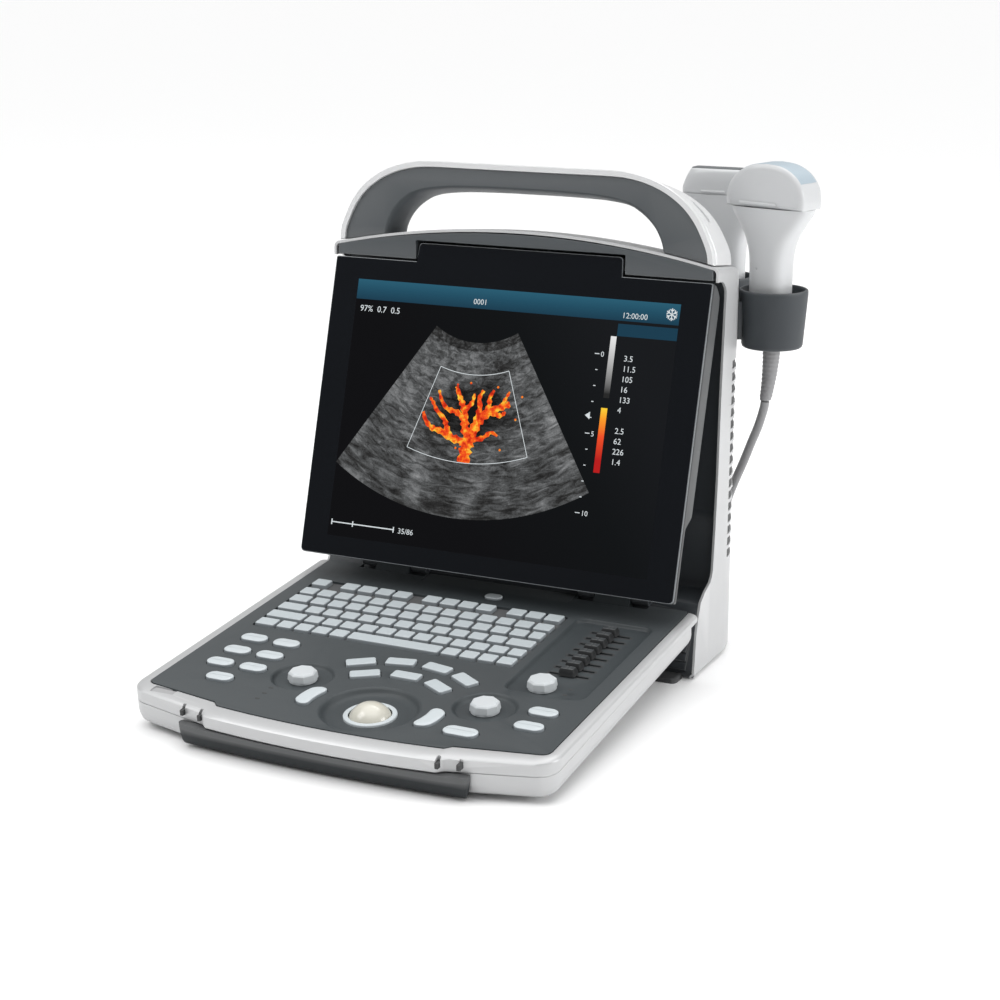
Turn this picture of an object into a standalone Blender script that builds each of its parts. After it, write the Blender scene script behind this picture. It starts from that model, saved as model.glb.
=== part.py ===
"""Portable ultrasound scanner: fold-down control panel, tilting monitor, carrying handle and two probes.

Sizes are in millimetres and turned into metres when each mesh is made. x runs across the scanner from its
middle, y towards its back and z up from the surface it stands on.
"""

import math

import bmesh
import bpy
from mathutils import Matrix, Vector

# Where the scanner's own middle lies in the model's frame, whose origin is the middle of the base.
SCANNER_X = -20.65
SCANNER_Y = 7.45

# Housing
SIDE_X = 146.5
CORNER_RADIUS = 65.0
CORNER_Y = 95.0
REAR_Y = CORNER_Y + CORNER_RADIUS
WALL = 3.0
TOP_FRONT_Y = 65.0
SHOULDER_Z = 281.2
CROWN = 15.5
VENT_COUNT = 17
VENT_LOW = 72.0
VENT_PITCH = 8.2
VENT_HIGH = 4.4

# Monitor: it tilts about a shaft behind its top edge
MONITOR_TILT = 16.5
PIVOT_Y = 70.88
PIVOT_Z = 275.46
GLASS_HALF = 143.4
GLASS_FRONT = -6.0
GLASS_THICK = 1.8
GLASS_TOP = -6.8
GLASS_BOTTOM = -220.9
TAB_TOP = 6.5
TAB_HALF = 75.6
MONITOR_THICK = 17.0
MONITOR_THIN = 8.0

# Control panel: its own frame lies in the plane of the key tops, with y from the first key row towards the hinge
PANEL_SLOPE = 4.65
PANEL_Z = 47.24
HINGE_Y = 41.0
HINGE_Z = 52.5
COVER_TOP = -1.6
COVER_BOTTOM = -9.0
COVER_HALF = 140.6
RIM_HALF = 147.6
BASE_BOTTOM = -24.5
RECESS_FLOOR = -4.6
BUTTON_TOP = 0.2
BUTTON_TRAVEL_ROOM = 1.5
GAP = 0.3

# Controls, each (x, distance in front of the first key row)
LEFT_OVALS = [(x, u) for u in (108, 129, 149.5) for x in (-113.3, -88.3)] + [(-100.9, 169.5)]
RIGHT_OVALS = [(115.3, 141.5), (115.3, 162.5)]
KNOBS = {"left_knob": (-52.0, 147.5), "right_knob": (77.8, 146.0), "gain_knob": (96.5, 102.5)}
KNOB_RADIUS = 10.0
DISH_RADIUS = 21.5
BALL_X, BALL_U = 12.0, 174.0
BALL_RADIUS = 15.0
BALL_CENTRE = -12.5
BALL_DISH_RADIUS = 33.0
BALL_DISH_FLOOR = -6.6
SLIDER_X = 104.4
SLIDER_U = 10.1
SLIDER_PITCH = 9.83
SLIDER_COUNT = 8
SLOT_LENGTH = 27.5

# Probes stand in cups set round the rear right corner
CUP_REACH = 90.7
CUP_RADIUS = 24.5
CUP_BOTTOM, CUP_TOP = 216.5, 257.0
FRONT_CUP_ANGLE = 29.8
REAR_CUP_ANGLE = 73.7
CORNER_X = SIDE_X - CORNER_RADIUS
PROBE_TURN = -14.0

# The probe's cable
CABLE_RADIUS = 3.1
COIL_X, COIL_Y = 20.0, 211.0
COIL_IN, COIL_OUT = 20.9, 47.4
CONNECTOR_X, CONNECTOR_Y, CONNECTOR_Z = -46.0, 176.0, 60.0

for old in list(bpy.data.objects):
    bpy.data.objects.remove(old, do_unlink=True)

SCANNER = Matrix.Translation((SCANNER_X / 1000, SCANNER_Y / 1000, 0))
PANEL = SCANNER @ Matrix.Translation((0, 0, PANEL_Z / 1000)) @ Matrix.Rotation(math.radians(PANEL_SLOPE), 4, "X")
MONITOR = (
    SCANNER
    @ Matrix.Translation((0, PIVOT_Y / 1000, PIVOT_Z / 1000))
    @ Matrix.Rotation(math.radians(-MONITOR_TILT), 4, "X")
)
HINGE_IN_PANEL = Matrix.Rotation(math.radians(-PANEL_SLOPE), 4, "X") @ Vector((0, HINGE_Y, HINGE_Z - PANEL_Z))


# ---------------------------------------------------------------- materials


def material(name, colour, roughness, metallic=0.0):
    made = bpy.data.materials.new(name)
    made.use_nodes = True
    shader = made.node_tree.nodes["Principled BSDF"]
    shader.inputs["Base Color"].default_value = (*colour, 1)
    shader.inputs["Roughness"].default_value = roughness
    shader.inputs["Metallic"].default_value = metallic
    return made


DARK = material("dark_grey_plastic", (0.055, 0.062, 0.068), 0.55)
SILVER = material("silver_paint", (0.78, 0.79, 0.8), 0.35)
GLASS = material("black_glass", (0.01, 0.012, 0.016), 0.08)
KEY = material("key_white", (0.62, 0.66, 0.68), 0.45)
IVORY = material("ivory_ball", (0.8, 0.78, 0.68), 0.25)
BLACK = material("black_plastic", (0.03, 0.032, 0.035), 0.45)
RUBBER = material("soft_rubber", (0.04, 0.042, 0.045), 0.8)
STEEL = material("steel", (0.6, 0.6, 0.6), 0.3, 1.0)
BOARD = material("circuit_board", (0.02, 0.16, 0.07), 0.5)
PROBE = material("probe_white", (0.74, 0.75, 0.76), 0.4)
CABLE = material("cable_grey", (0.3, 0.3, 0.31), 0.55)


# ---------------------------------------------------------------- mesh helpers


def rounded(corners, steps=4):
    """A 2-D outline with each corner (x, y, radius) turned into an arc of steps + 1 points."""
    points = []
    count = len(corners)
    for i, (x, y, radius) in enumerate(corners):
        corner = Vector((x, y))
        before = (Vector(corners[i - 1][:2]) - corner).normalized()
        after = (Vector(corners[(i + 1) % count][:2]) - corner).normalized()
        if radius == 0:
            points.append(tuple(corner))
            continue
        half = math.acos(max(-1, min(1, before.dot(after)))) / 2
        centre = corner + (before + after).normalized() * (radius / math.sin(half))
        first = corner + before * (radius / math.tan(half)) - centre
        last = corner + after * (radius / math.tan(half)) - centre
        sweep = math.atan2(first.x * last.y - first.y * last.x, first.dot(last))
        for step in range(steps + 1):
            turned = Matrix.Rotation(sweep * step / steps, 2) @ first
            points.append(tuple(centre + turned))
    return points


def inset(outline, distance):
    """The outline moved inwards by a distance; the outline runs anticlockwise."""
    moved = []
    for i, point in enumerate(outline):
        here = Vector(point)
        before = (here - Vector(outline[i - 1])).normalized()
        after = (Vector(outline[(i + 1) % len(outline)]) - here).normalized()
        inwards = Vector((-before.y - after.y, before.x + after.x)).normalized()
        stretch = 1 / max(0.5, inwards.dot(Vector((-before.y, before.x))))
        moved.append(tuple(here + inwards * distance * stretch))
    return moved


def anticlockwise(outline):
    area = sum(a[0] * b[1] - b[0] * a[1] for a, b in zip(outline, outline[1:] + outline[:1]))
    return outline if area > 0 else outline[::-1]


def circle(x, y, radius, count=24):
    angles = [2 * math.pi * i / count for i in range(count)]
    return [(x + radius * math.cos(a), y + radius * math.sin(a)) for a in angles]


def box_outline(x, y, width, depth, radius=0.0, turn=0.0):
    """A rounded rectangle about (x, y), turned by an angle in degrees."""
    half, deep = width / 2, depth / 2
    flat = rounded([(-half, -deep, radius), (half, -deep, radius), (half, deep, radius), (-half, deep, radius)], 3)
    c, s = math.cos(math.radians(turn)), math.sin(math.radians(turn))
    return [(x + c * px - s * py, y + s * px + c * py) for px, py in flat]


def level(outline, z):
    return [(x, y, z) for x, y in outline]


def upright(outline, y):
    return [(x, y, z) for x, z in outline]


def sideways(outline, x):
    return [(x, y, z) for y, z in outline]


def loft(bm, loops, ring=False):
    """Joins loops of equal length with quads, and closes them with end faces or into a ring."""
    rows = [[bm.verts.new(point) for point in loop] for loop in loops]
    pairs = list(zip(rows, rows[1:]))
    if ring:
        pairs.append((rows[-1], rows[0]))
    else:
        bm.faces.new(rows[0])
        bm.faces.new(rows[-1][::-1])
    for low, high in pairs:
        for i in range(len(low)):
            j = (i + 1) % len(low)
            bm.faces.new((low[i], low[j], high[j], high[i]))


def prism(bm, outline, low, high, place=level):
    loft(bm, [place(outline, low), place(outline, high)])


def turned(bm, profile, x, y, count=24):
    """A solid of revolution about a vertical axis at (x, y), from (radius, z) points."""
    loft(bm, [level(circle(x, y, radius, count), z) for radius, z in profile])


def make(name, build, paint, frame=SCANNER, origin=(0, 0, 0), smooth=30):
    """An object from a function that fills a bmesh, in a frame and with its origin at a point of it."""
    bm = bmesh.new()
    build(bm)
    bmesh.ops.recalc_face_normals(bm, faces=bm.faces)
    bmesh.ops.translate(bm, verts=bm.verts, vec=-Vector(origin))
    bmesh.ops.scale(bm, verts=bm.verts, vec=(0.001, 0.001, 0.001))
    mesh = bpy.data.meshes.new(name)
    bm.to_mesh(mesh)
    bm.free()
    if smooth:
        mesh.shade_smooth()
        mesh.set_sharp_from_angle(angle=math.radians(smooth))
    made = bpy.data.objects.new(name, mesh)
    bpy.context.scene.collection.objects.link(made)
    made.matrix_world = frame @ Matrix.Translation(Vector(origin) / 1000)
    if paint:
        mesh.materials.append(paint)
    return made


def boolean(piece, build, operation="DIFFERENCE", frame=SCANNER):
    """Cuts or joins a hidden helper shape."""
    helper = make(f"{piece.name}_{operation.lower()}_{len(piece.modifiers)}", build, None, frame, smooth=0)
    helper.hide_render = True
    helper.display_type = "WIRE"
    step = piece.modifiers.new(helper.name, "BOOLEAN")
    step.operation = operation
    step.object = helper
    return helper


# ---------------------------------------------------------------- housing


def housing_section(y, skin=0.0, top_skin=None):
    """The housing's outline at a depth y: straight sides, a crowned top, and a big round rear corner."""
    top_skin = skin if top_skin is None else top_skin
    past = max(0.0, y + skin - CORNER_Y) / CORNER_RADIUS
    half = CORNER_X + CORNER_RADIUS * math.sqrt(max(0.0, 1 - past * past)) - skin
    fall = max(0.0, y - TOP_FRONT_Y)
    top = SHOULDER_Z - 0.12 * fall - 48 * past**3.2 - top_skin
    crown = CROWN * (1 - 0.5 * min(1, past)) * (half / SIDE_X)
    low = skin + 5.0 * past**3
    cut = 3.0 - 0.5 * skin
    outline = [(-half, low + cut), (-half + cut, low), (half - cut, low), (half, low + cut)]
    outline += [(half, top - cut - 1), (half - cut, top)]
    for i in range(1, 12):
        x = (half - cut) * (1 - i / 6)
        outline.append((x, top + crown * (1 - (x / half) ** 2)))
    outline += [(-half + cut, top), (-half, top - cut - 1)]
    return outline


def housing_solid(bm, skin, top_skin, start, end):
    past = [0.0, 0.3, 0.55, 0.75, 0.9, 0.97, 1.0]
    depths = [start, TOP_FRONT_Y] + [CORNER_Y + (end - CORNER_Y) * p for p in past]
    loft(bm, [upright(housing_section(y, skin, top_skin), y) for y in depths])


SIDE_EDGE = [
    (37.6, -10),
    (37.6, 0),
    (41.0, 32),
    (48.0, 53.5),
    (66.0, 63.0),
    (70.6, 71.0),
    (75.6, 133.0),
    (77.5, 191.0),
    (82.0, 258.0),
    (80.5, 265.5),
    (74.0, 270.3),
    (TOP_FRONT_Y, 271.0),
    (TOP_FRONT_Y, 350.0),
]


def rear_housing():
    piece = make("rear_housing", lambda bm: housing_solid(bm, 0, 0, 30, REAR_Y), SILVER)
    boolean(piece, lambda bm: housing_solid(bm, WALL, 1.8, 20, REAR_Y - WALL - 0.01))
    front = SIDE_EDGE + [(10, 350), (10, -10)]
    boolean(piece, lambda bm: prism(bm, front, -200, 200, sideways))
    inside = SIDE_X - WALL - 0.05
    floor = [(-inside, 0), (inside, 0), (inside, 46), (-inside, 46)]
    boolean(piece, lambda bm: prism(bm, floor, -5, 10))
    boolean(piece, vent_slots)
    boolean(piece, lambda bm: prism(bm, box_outline(-46, 80, 66, 48, 3), REAR_Y - 8, REAR_Y + 5, upright))


def vent_slots(bm):
    """Two columns of slots round the rear corners."""
    for side in (-1, 1):
        for i in range(VENT_COUNT):
            z = VENT_LOW + VENT_PITCH * i
            outline = box_outline(side * (CORNER_X + 52), CORNER_Y + 30, 40, 26, 0, -side * 50)
            prism(bm, outline, z, z + VENT_HIGH)


def wall_strip(points, thickness):
    """A wall of even thickness behind a line of (y, z) points."""
    behind = []
    for i, point in enumerate(points):
        here = Vector(point)
        before = (here - Vector(points[max(0, i - 1)])).normalized()
        after = (Vector(points[min(len(points) - 1, i + 1)]) - here).normalized()
        along = (before + after).normalized()
        behind.append(tuple(here + Vector((along.y, -along.x)) * thickness))
    return points + behind[::-1]


FRONT_FACE = [
    (41.5, 1.0),
    (41.5, 43.0),
    (46.3, 49.0),
    (48.5, 52.3),
    (78.0, 52.6),
    (81.5, 57.0),
    (81.5, 102.0),
    (86.0, 108.0),
    (86.0, 258.0),
    (84.5, 268.5),
]


def hinge_wheel(bm, low, high, foot, radius=4.0, frame_y=HINGE_Y, frame_z=HINGE_Z):
    """A hinge knuckle: part of a cylinder about the hinge line, run into a foot of (y, z) points."""
    first, last = foot["from"], foot["to"]
    sweep = (last - first) / 8
    arc = [math.radians(first + sweep * i) for i in range(9)]
    outline = [(frame_y + radius * math.cos(a), frame_z + radius * math.sin(a)) for a in arc]
    prism(bm, outline + foot["points"], low, high, sideways)


BODY_KNUCKLE = {"from": 80, "to": 280, "points": [(52.0, 49.0), (52.0, 52.6)]}


def body_knuckles(bm):
    for side in (-1, 1):
        for low in (60.0, 100.0):
            ends = sorted((side * low, side * (low + 12)))
            hinge_wheel(bm, ends[0], ends[1], BODY_KNUCKLE)


def bores(bm, y, z, radius, reach):
    """A straight hole along x on both sides of the middle."""
    for side in (-1, 1):
        ends = sorted((side * reach[0], side * reach[1]))
        prism(bm, circle(y, z, radius, 16), ends[0], ends[1], sideways)


def front_housing():
    half = SIDE_X - WALL - GAP
    wall = wall_strip(FRONT_FACE, 3.0)
    piece = make("front_housing", lambda bm: prism(bm, wall, -half, half, sideways), DARK)
    boolean(piece, body_knuckles, "UNION")
    boolean(piece, lambda bm: bores(bm, HINGE_Y, HINGE_Z, 1.9, (50, 125)))
    boolean(piece, foot_slots)


def foot_slots(bm):
    for z in (4.7, 11.2, 17.8):
        prism(bm, box_outline(0, z + 0.7, 276, 1.4), 40.0, 42.6, upright)


def front_foot_bar():
    """The rubber bar that the front of the housing stands on."""
    outline = rounded([(-137, 27, 4), (137, 27, 4), (137, 40.9, 1), (-137, 40.9, 1)])
    loops = [level(outline, 0), level(outline, 3.2), level(inset(outline, 1), 4)]
    make("front_foot_bar", lambda bm: loft(bm, loops), RUBBER)


def brow_cover():
    """The dark hood over the monitor's top edge, with a notch that the monitor's tab turns in."""
    half = 141.4
    under = 271.9
    notch = TAB_HALF + 4.2
    notch_top = 285.2
    outline = [(-half, under), (-notch, under), (-notch, notch_top)]
    outline += [(notch, notch_top), (notch, under), (half, under)]
    for i in range(13):
        x = half * (1 - i / 6)
        outline.append((x, SHOULDER_Z + CROWN * (1 - (x / SIDE_X) ** 2) - 2.75))

    def build(bm):
        crown = [z > notch_top + 1 or (z > 274 and abs(x) > notch) for x, z in outline]
        back = [(x, z - 1.8) if high else (x, z) for (x, z), high in zip(outline, crown)]
        loft(bm, [upright(outline, TOP_FRONT_Y - 0.4), upright(back, 79.5)])

    piece = make("brow_cover", build, DARK)
    boolean(piece, lambda bm: bores(bm, PIVOT_Y, PIVOT_Z, 2.1, (70, 88)))


HANDLE_OUTER = [
    (142.3, 283.4),
    (141.2, 291),
    (137.7, 300),
    (131.5, 311.5),
    (122.9, 321.7),
    (111.5, 330.2),
    (98.4, 336.3),
    (84, 340),
    (68.6, 341.4),
    (34, 341.4),
    (0, 341.4),
]
GRIP_INNER = [
    (107.3, 289.4),
    (105, 298),
    (100.4, 306.5),
    (94, 313.5),
    (86, 319),
    (76, 322.4),
    (64, 324.4),
    (50, 325.6),
    (30, 326.2),
    (15, 326.4),
    (0, 326.4),
]
BAND_THICK = 4.7


def arch(outer, inner):
    """A closed arch from the right half of its outer and inner lines."""
    left = [(-x, z) for x, z in outer]
    return outer + left[-2::-1] + [(-x, z) for x, z in inner] + inner[-2::-1]


def settled(points, y):
    """The arch's points at a depth y: its feet follow the housing's top, and its crest falls faster."""
    foot = 0.12 * (y - TOP_FRONT_Y)
    crest = 0.254 * (y - 66.0)
    return [(x, z - foot - (crest - foot) * min(1, max(0, z - 283) / 58)) for x, z in points]


def thinned(points, distance):
    """The arch's outer line moved inwards."""
    moved = []
    for i, point in enumerate(points):
        here = Vector(point)
        before = Vector(points[max(0, i - 1)])
        after = Vector(points[min(len(points) - 1, i + 1)])
        along = (after - before).normalized()
        moved.append(tuple(here + Vector((-along.y, along.x)) * distance))
    moved[0] = (points[0][0] - distance, points[0][1] + 0.9)
    moved[-1] = (0, points[-1][1] - distance)
    return moved


def handle_band():
    inner = thinned(HANDLE_OUTER, BAND_THICK)

    def build(bm):
        loops = []
        for y, shave in ((66.0, 0.8), (67.0, 0), (101.5, 0), (103.0, 0.9)):
            outer = thinned(HANDLE_OUTER, shave) if shave else HANDLE_OUTER
            loops.append(upright(settled(arch(outer, inner), y), y))
        loft(bm, loops)

    make("handle_band", build, SILVER)


def handle_grip():
    outer = thinned(HANDLE_OUTER, BAND_THICK + GAP)

    def build(bm):
        loops = []
        for y, grow in ((68.0, 0), (71.5, 1.6), (84.0, 2.6), (96.5, 1.6), (100.0, 0)):
            inner = [(x - grow * 1.2 if z < 318 else x, z - grow) for x, z in GRIP_INNER]
            inner[0] = (GRIP_INNER[0][0] - grow * 1.2, GRIP_INNER[0][1] + 0.5)
            loops.append(upright(settled(arch(outer, inner), y), y))
        loft(bm, loops)

    make("handle_grip", build, DARK)


# ---------------------------------------------------------------- what the housing holds


def main_board():
    make("main_board", lambda bm: prism(bm, box_outline(-5, 160, 230, 180, 3), 96.0, 97.8, upright), BOARD)


def power_supply():
    make("power_supply", lambda bm: prism(bm, box_outline(-80, 121, 58, 42, 2), 6.0, 40.0), STEEL)


def battery_pack():
    make("battery_pack", lambda bm: prism(bm, box_outline(28, 121, 130, 43, 3), 6.0, 38.0), BLACK)


FAN_Y, FAN_Z = 122.0, 190.0


def fan_frame():
    def build(bm):
        prism(bm, box_outline(FAN_Y, FAN_Z, 44, 44, 3), 104.0, 114.0, sideways)

    def hole(bm):
        steps = ((1.9, 100.0), (1.9, 106.5), (19.0, 106.5), (19.0, 120.0))
        loft(bm, [sideways(circle(FAN_Y, FAN_Z, radius, 24), x) for radius, x in steps])

    boolean(make("fan_frame", build, BLACK), hole)


def fan_rotor():
    """A hub on a short shaft, with seven slanted blades."""

    def build(bm):
        loft(
            bm,
            [
                sideways(circle(FAN_Y, FAN_Z, radius, 14), x)
                for radius, x in ((1.4, 104.4), (1.4, 107.2), (8.5, 107.2), (8.5, 113.4), (8.0, 113.8))
            ],
        )

    def blades(bm):
        for i in range(7):
            angle = 2 * math.pi * i / 7
            across = Vector((-math.sin(angle), math.cos(angle)))
            out = Vector((math.cos(angle), math.sin(angle)))
            loops = []
            for radius, width in ((7.0, 2.6), (18.0, 5.0)):
                centre = Vector((FAN_Y, FAN_Z)) + out * radius
                front = centre + across * width
                back = centre - across * width
                loops.append(
                    [
                        (107.8, front.x, front.y),
                        (109.0, front.x, front.y),
                        (113.2, back.x, back.y),
                        (112.0, back.x, back.y),
                    ]
                )
            loft(bm, loops)

    piece = make("fan_rotor", build, BLACK, SCANNER, (109, FAN_Y, FAN_Z))
    boolean(piece, blades, "UNION")


def probe_socket():
    def build(bm):
        outer = box_outline(-46, 80, 74, 54, 4)
        inner = box_outline(-46, 80, 64, 46, 3)
        loft(bm, [upright(inner, 146), upright(inner, 160.4), upright(outer, 160.4), upright(outer, 163)])

    make("probe_socket", build, BLACK)


# ---------------------------------------------------------------- monitor


def monitor_outline(shrink=0.0):
    half = GLASS_HALF - shrink
    top, tab = GLASS_TOP - shrink, TAB_TOP - shrink
    return rounded(
        [
            (-half, GLASS_BOTTOM + shrink, 2.5),
            (half, GLASS_BOTTOM + shrink, 2.5),
            (half, top, 2.5),
            (TAB_HALF + 2.7, top, 0),
            (TAB_HALF - shrink, tab, 1.5),
            (-TAB_HALF + shrink, tab, 1.5),
            (-TAB_HALF - 2.7, top, 0),
            (-half, top, 2.5),
        ],
        3,
    )


def monitor_glass():
    outline = monitor_outline()

    def build(bm):
        back = GLASS_FRONT + GLASS_THICK
        loops = [upright(monitor_outline(0.4), GLASS_FRONT), upright(outline, GLASS_FRONT + 0.4), upright(outline, back)]
        loft(bm, loops)

    make("monitor_glass", build, GLASS, MONITOR)


MONITOR_FACE = GLASS_FRONT + GLASS_THICK + GAP


def monitor_back():
    """The cover behind the glass: full thickness down to a step, then a thinner chin."""
    thick = GLASS_FRONT + MONITOR_THICK
    thin = GLASS_FRONT + MONITOR_THIN
    side = [
        (MONITOR_FACE, GLASS_BOTTOM + 0.3),
        (thin - 1.5, GLASS_BOTTOM + 0.3),
        (thin, GLASS_BOTTOM + 2),
        (thin, -171),
        (thick - 2, -165),
        (thick, -162),
        (thick, -20),
        (thick - 2, -12),
        (thick - 7, GLASS_TOP - 0.6),
        (MONITOR_FACE, GLASS_TOP),
    ]
    half = GLASS_HALF - 0.2
    trims = ((-half, 1.5), (-half + 2, 0), (half - 2, 0), (half, 1.5))

    def build(bm):
        loops = []
        for x, trim in trims:
            loops.append(sideways([(y - trim if y > MONITOR_FACE + 2 else y, z) for y, z in side], x))
        loft(bm, loops)

    def tab(bm):
        outline = [(MONITOR_FACE, -14), (6, -14), (6.5, -4), (6.5, 3.5), (4, TAB_TOP), (MONITOR_FACE, TAB_TOP)]
        prism(bm, outline, -TAB_HALF + 0.4, TAB_HALF - 0.4, sideways)

    def hollow(bm):
        outline = rounded([(-133, -217, 2), (133, -217, 2), (133, -10.5, 2), (-133, -10.5, 2)], 2)
        inner = rounded([(-128, -160, 2), (128, -160, 2), (128, -18, 2), (-128, -18, 2)], 2)
        loft(bm, [upright(outline, -10), upright(outline, 0.4), upright(inner, 0.4), upright(inner, thick - 2.4)])

    piece = make("monitor_back", build, SILVER, MONITOR)
    boolean(piece, tab, "UNION", MONITOR)
    boolean(piece, hollow, "DIFFERENCE", MONITOR)
    boolean(piece, lambda bm: prism(bm, circle(0, 0, 2.1, 16), -90, 90, sideways), "DIFFERENCE", MONITOR)


def lcd_module():
    make(
        "lcd_module",
        lambda bm: prism(bm, box_outline(0, -114, 262, 203, 2), MONITOR_FACE + GAP, 0.1, upright),
        BLACK,
        MONITOR,
    )


def monitor_shaft():
    make(
        "monitor_shaft",
        lambda bm: prism(bm, circle(PIVOT_Y, PIVOT_Z, 1.8, 16), -86, 86, sideways),
        STEEL,
        SCANNER,
        (0, PIVOT_Y, PIVOT_Z),
    )


# ---------------------------------------------------------------- control panel


def panel_outline(half, rear, corner, shoulder, step, front, rear_radius, front_radius):
    """The panel seen from above: y is minus the distance in front of the first key row."""
    corners = [
        (half, rear, rear_radius),
        (-half, rear, rear_radius),
        (-half - 0.6, -corner, front_radius),
        (-84, -shoulder, 0),
        (-80, -step, 0),
        (-54, -step - (front - step) * 0.55, 0),
        (-27, -step - (front - step) * 0.88, 0),
        (0, -front, 0),
        (27, -step - (front - step) * 0.88, 0),
        (54, -step - (front - step) * 0.55, 0),
        (80, -step, 0),
        (84, -shoulder, 0),
        (half + 0.6, -corner, front_radius),
    ]
    return anticlockwise(rounded(corners, 5))


def cover_outline(spread=0.0, rear=40.3):
    return panel_outline(
        COVER_HALF + spread, rear, 191 + spread, 201 + spread, 205.2 + spread, 210 + spread, 3, 6
    )


def rim_outline(rear=38.5):
    return panel_outline(RIM_HALF, rear, 199, 214.5, 218, 222.5, 14, 16)


def knuckle_notches(bm):
    """Room in the panel's rear edge for the housing's knuckles."""
    for side in (-1, 1):
        for low in (59.4, 99.4):
            ends = sorted((side * low, side * (low + 13.2)))
            prism(bm, [(34, -12), (60, -12), (60, 12), (34, 12)], ends[0], ends[1], sideways)


PANEL_KNUCKLE = {
    "from": 150,
    "to": -60,
    "points": [(HINGE_IN_PANEL.y - 0.2, -6.0), (HINGE_IN_PANEL.y - 9, -6.0), (HINGE_IN_PANEL.y - 9, -2.4)],
}


def panel_knuckles(bm):
    for side in (-1, 1):
        ends = sorted((side * 72.9, side * 99.1))
        hinge_wheel(bm, ends[0], ends[1], PANEL_KNUCKLE, 4.0, HINGE_IN_PANEL.y, HINGE_IN_PANEL.z)


def key_rows():
    """Every alphanumeric key as (x of its left edge, width, distance of its row)."""
    keys = []
    rows = [0.0, 16.9, 31.2, 46.2, 61.0, 75.5]
    function_groups = ((-127.0, 1), (-103.6, 4), (-38.2, 4), (27.2, 3))
    for start, count in function_groups:
        keys += [(start + 14.0 * i, 11.3, rows[0]) for i in range(count)]
    plain = ((-127.0, 13), (-110.0, 12), (-105.3, 11), (-97.0, 11))
    first = (0.0, 13.8, 18.6, 27.0)
    last = ((55.0, 11.7), (58.0, 8.7), (48.7, 18.0), (57.0, 9.7))
    for row, (start, count), wide, (end, end_width) in zip(rows[1:5], plain, first, last):
        if wide:
            keys.append((-127.0, wide, row))
        keys += [(start + 14.0 * i, 11.0, row) for i in range(count)]
        keys.append((end, end_width, row))
    keys.append((-127.0, 13.9, rows[5]))
    keys += [(-110.1 + 13.8 * i, 10.8, rows[5]) for i in range(4)]
    keys.append((-54.8, 62.4, rows[5]))
    keys += [(10.6 + 13.8 * i, 10.8, rows[5]) for i in range(3)]
    keys.append((52.0, 14.7, rows[5]))
    return keys


KEY_DEPTH = 10.2
ARC_CENTRE = (11.2, 177.7)
ARC_KEYS = [(72.0, angle) for angle in (-31.7, -10.7, 10.7, 31.7)]
ARC_KEYS += [(53.0, angle) for angle in (-29.8, 0.0, 29.8)]


def arc_key_outline(radius, angle, grow=0.0):
    x = ARC_CENTRE[0] + radius * math.sin(math.radians(angle))
    u = ARC_CENTRE[1] - radius * math.cos(math.radians(angle))
    return box_outline(x, -u, 20 + 2 * grow, 10 + 2 * grow, 1.5 + grow, -angle)


WELL = (-129.0, 68.7, -1.8, 87.4)


def well_outline(grow=0.0):
    low, high, near, far = WELL
    return rounded(
        [
            (low - grow, -far - grow, 2),
            (high + grow, -far - grow, 2),
            (high + grow, -near + grow, 2),
            (low - grow, -near + grow, 2),
        ],
        2,
    )


def oval_outline(x, u, width=19.5, depth=11.0, grow=0.0, turn=0.0):
    return box_outline(x, -u, width + 2 * grow, depth + 2 * grow, depth / 2 + grow - 0.01, turn)


KIDNEYS = {"left_kidney_button": (-30.5, 172.0, 76.0), "right_kidney_button": (51.0, 171.5, 108.0)}
FREEZE = (80.1, 184.2)
POWER = (4.6, -16.5)


def button_outlines(grow=0.0):
    """Every separate button's outline by its name."""
    found = {}
    for i, (x, u) in enumerate(LEFT_OVALS):
        found[f"left_button_{i + 1}"] = oval_outline(x, u, grow=grow)
    for i, (x, u) in enumerate(RIGHT_OVALS):
        found[f"right_button_{i + 1}"] = oval_outline(x, u, grow=grow)
    for name, (x, u, turn) in KIDNEYS.items():
        found[name] = oval_outline(x, u, 26, 11, grow, turn)
    found["freeze_button"] = oval_outline(*FREEZE, 23, 11.5, grow)
    found["power_button"] = oval_outline(*POWER, 13, 8.5, grow)
    return found


def slot_centre(i):
    return SLIDER_U + SLIDER_PITCH * i


def cover_recesses(bm):
    """Dishes round the knobs and the ball, the slider field, and a ring round the power button."""
    for name in ("left_knob", "right_knob"):
        x, u = KNOBS[name]
        dish = ((DISH_RADIUS - 3, RECESS_FLOOR), (DISH_RADIUS, COVER_TOP + 0.01), (DISH_RADIUS, 20))
        loft(bm, [level(circle(x, -u, radius, 24), z) for radius, z in dish])
    loops = [level(circle(BALL_X, -BALL_U, BALL_DISH_RADIUS - 7, 32), BALL_DISH_FLOOR)]
    loops += [level(circle(BALL_X, -BALL_U, BALL_DISH_RADIUS, 32), z) for z in (COVER_TOP + 0.01, 20)]
    loft(bm, loops)
    field = rounded([(74, -118, 5), (131, -118, 5), (131, 5, 5), (74, 5, 5)], 3)
    loft(bm, [level(inset(field, 2), RECESS_FLOOR), level(field, COVER_TOP + 0.01), level(field, 20)])


def cover_holes(bm):
    prism(bm, well_outline(), -12, 22)
    for radius, angle in ARC_KEYS:
        prism(bm, arc_key_outline(radius, angle, 0.5), -12, 22)
    for outline in button_outlines(0.5).values():
        prism(bm, outline, -12, 22)
    for x, u in KNOBS.values():
        prism(bm, circle(x, -u, 3.4, 12), -12, 22)
    prism(bm, circle(BALL_X, -BALL_U, 17.4, 32), -12, 22)
    for i in range(SLIDER_COUNT):
        prism(bm, box_outline(SLIDER_X, -slot_centre(i), SLOT_LENGTH, 2.0, 0.9), -12, 22)


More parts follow.
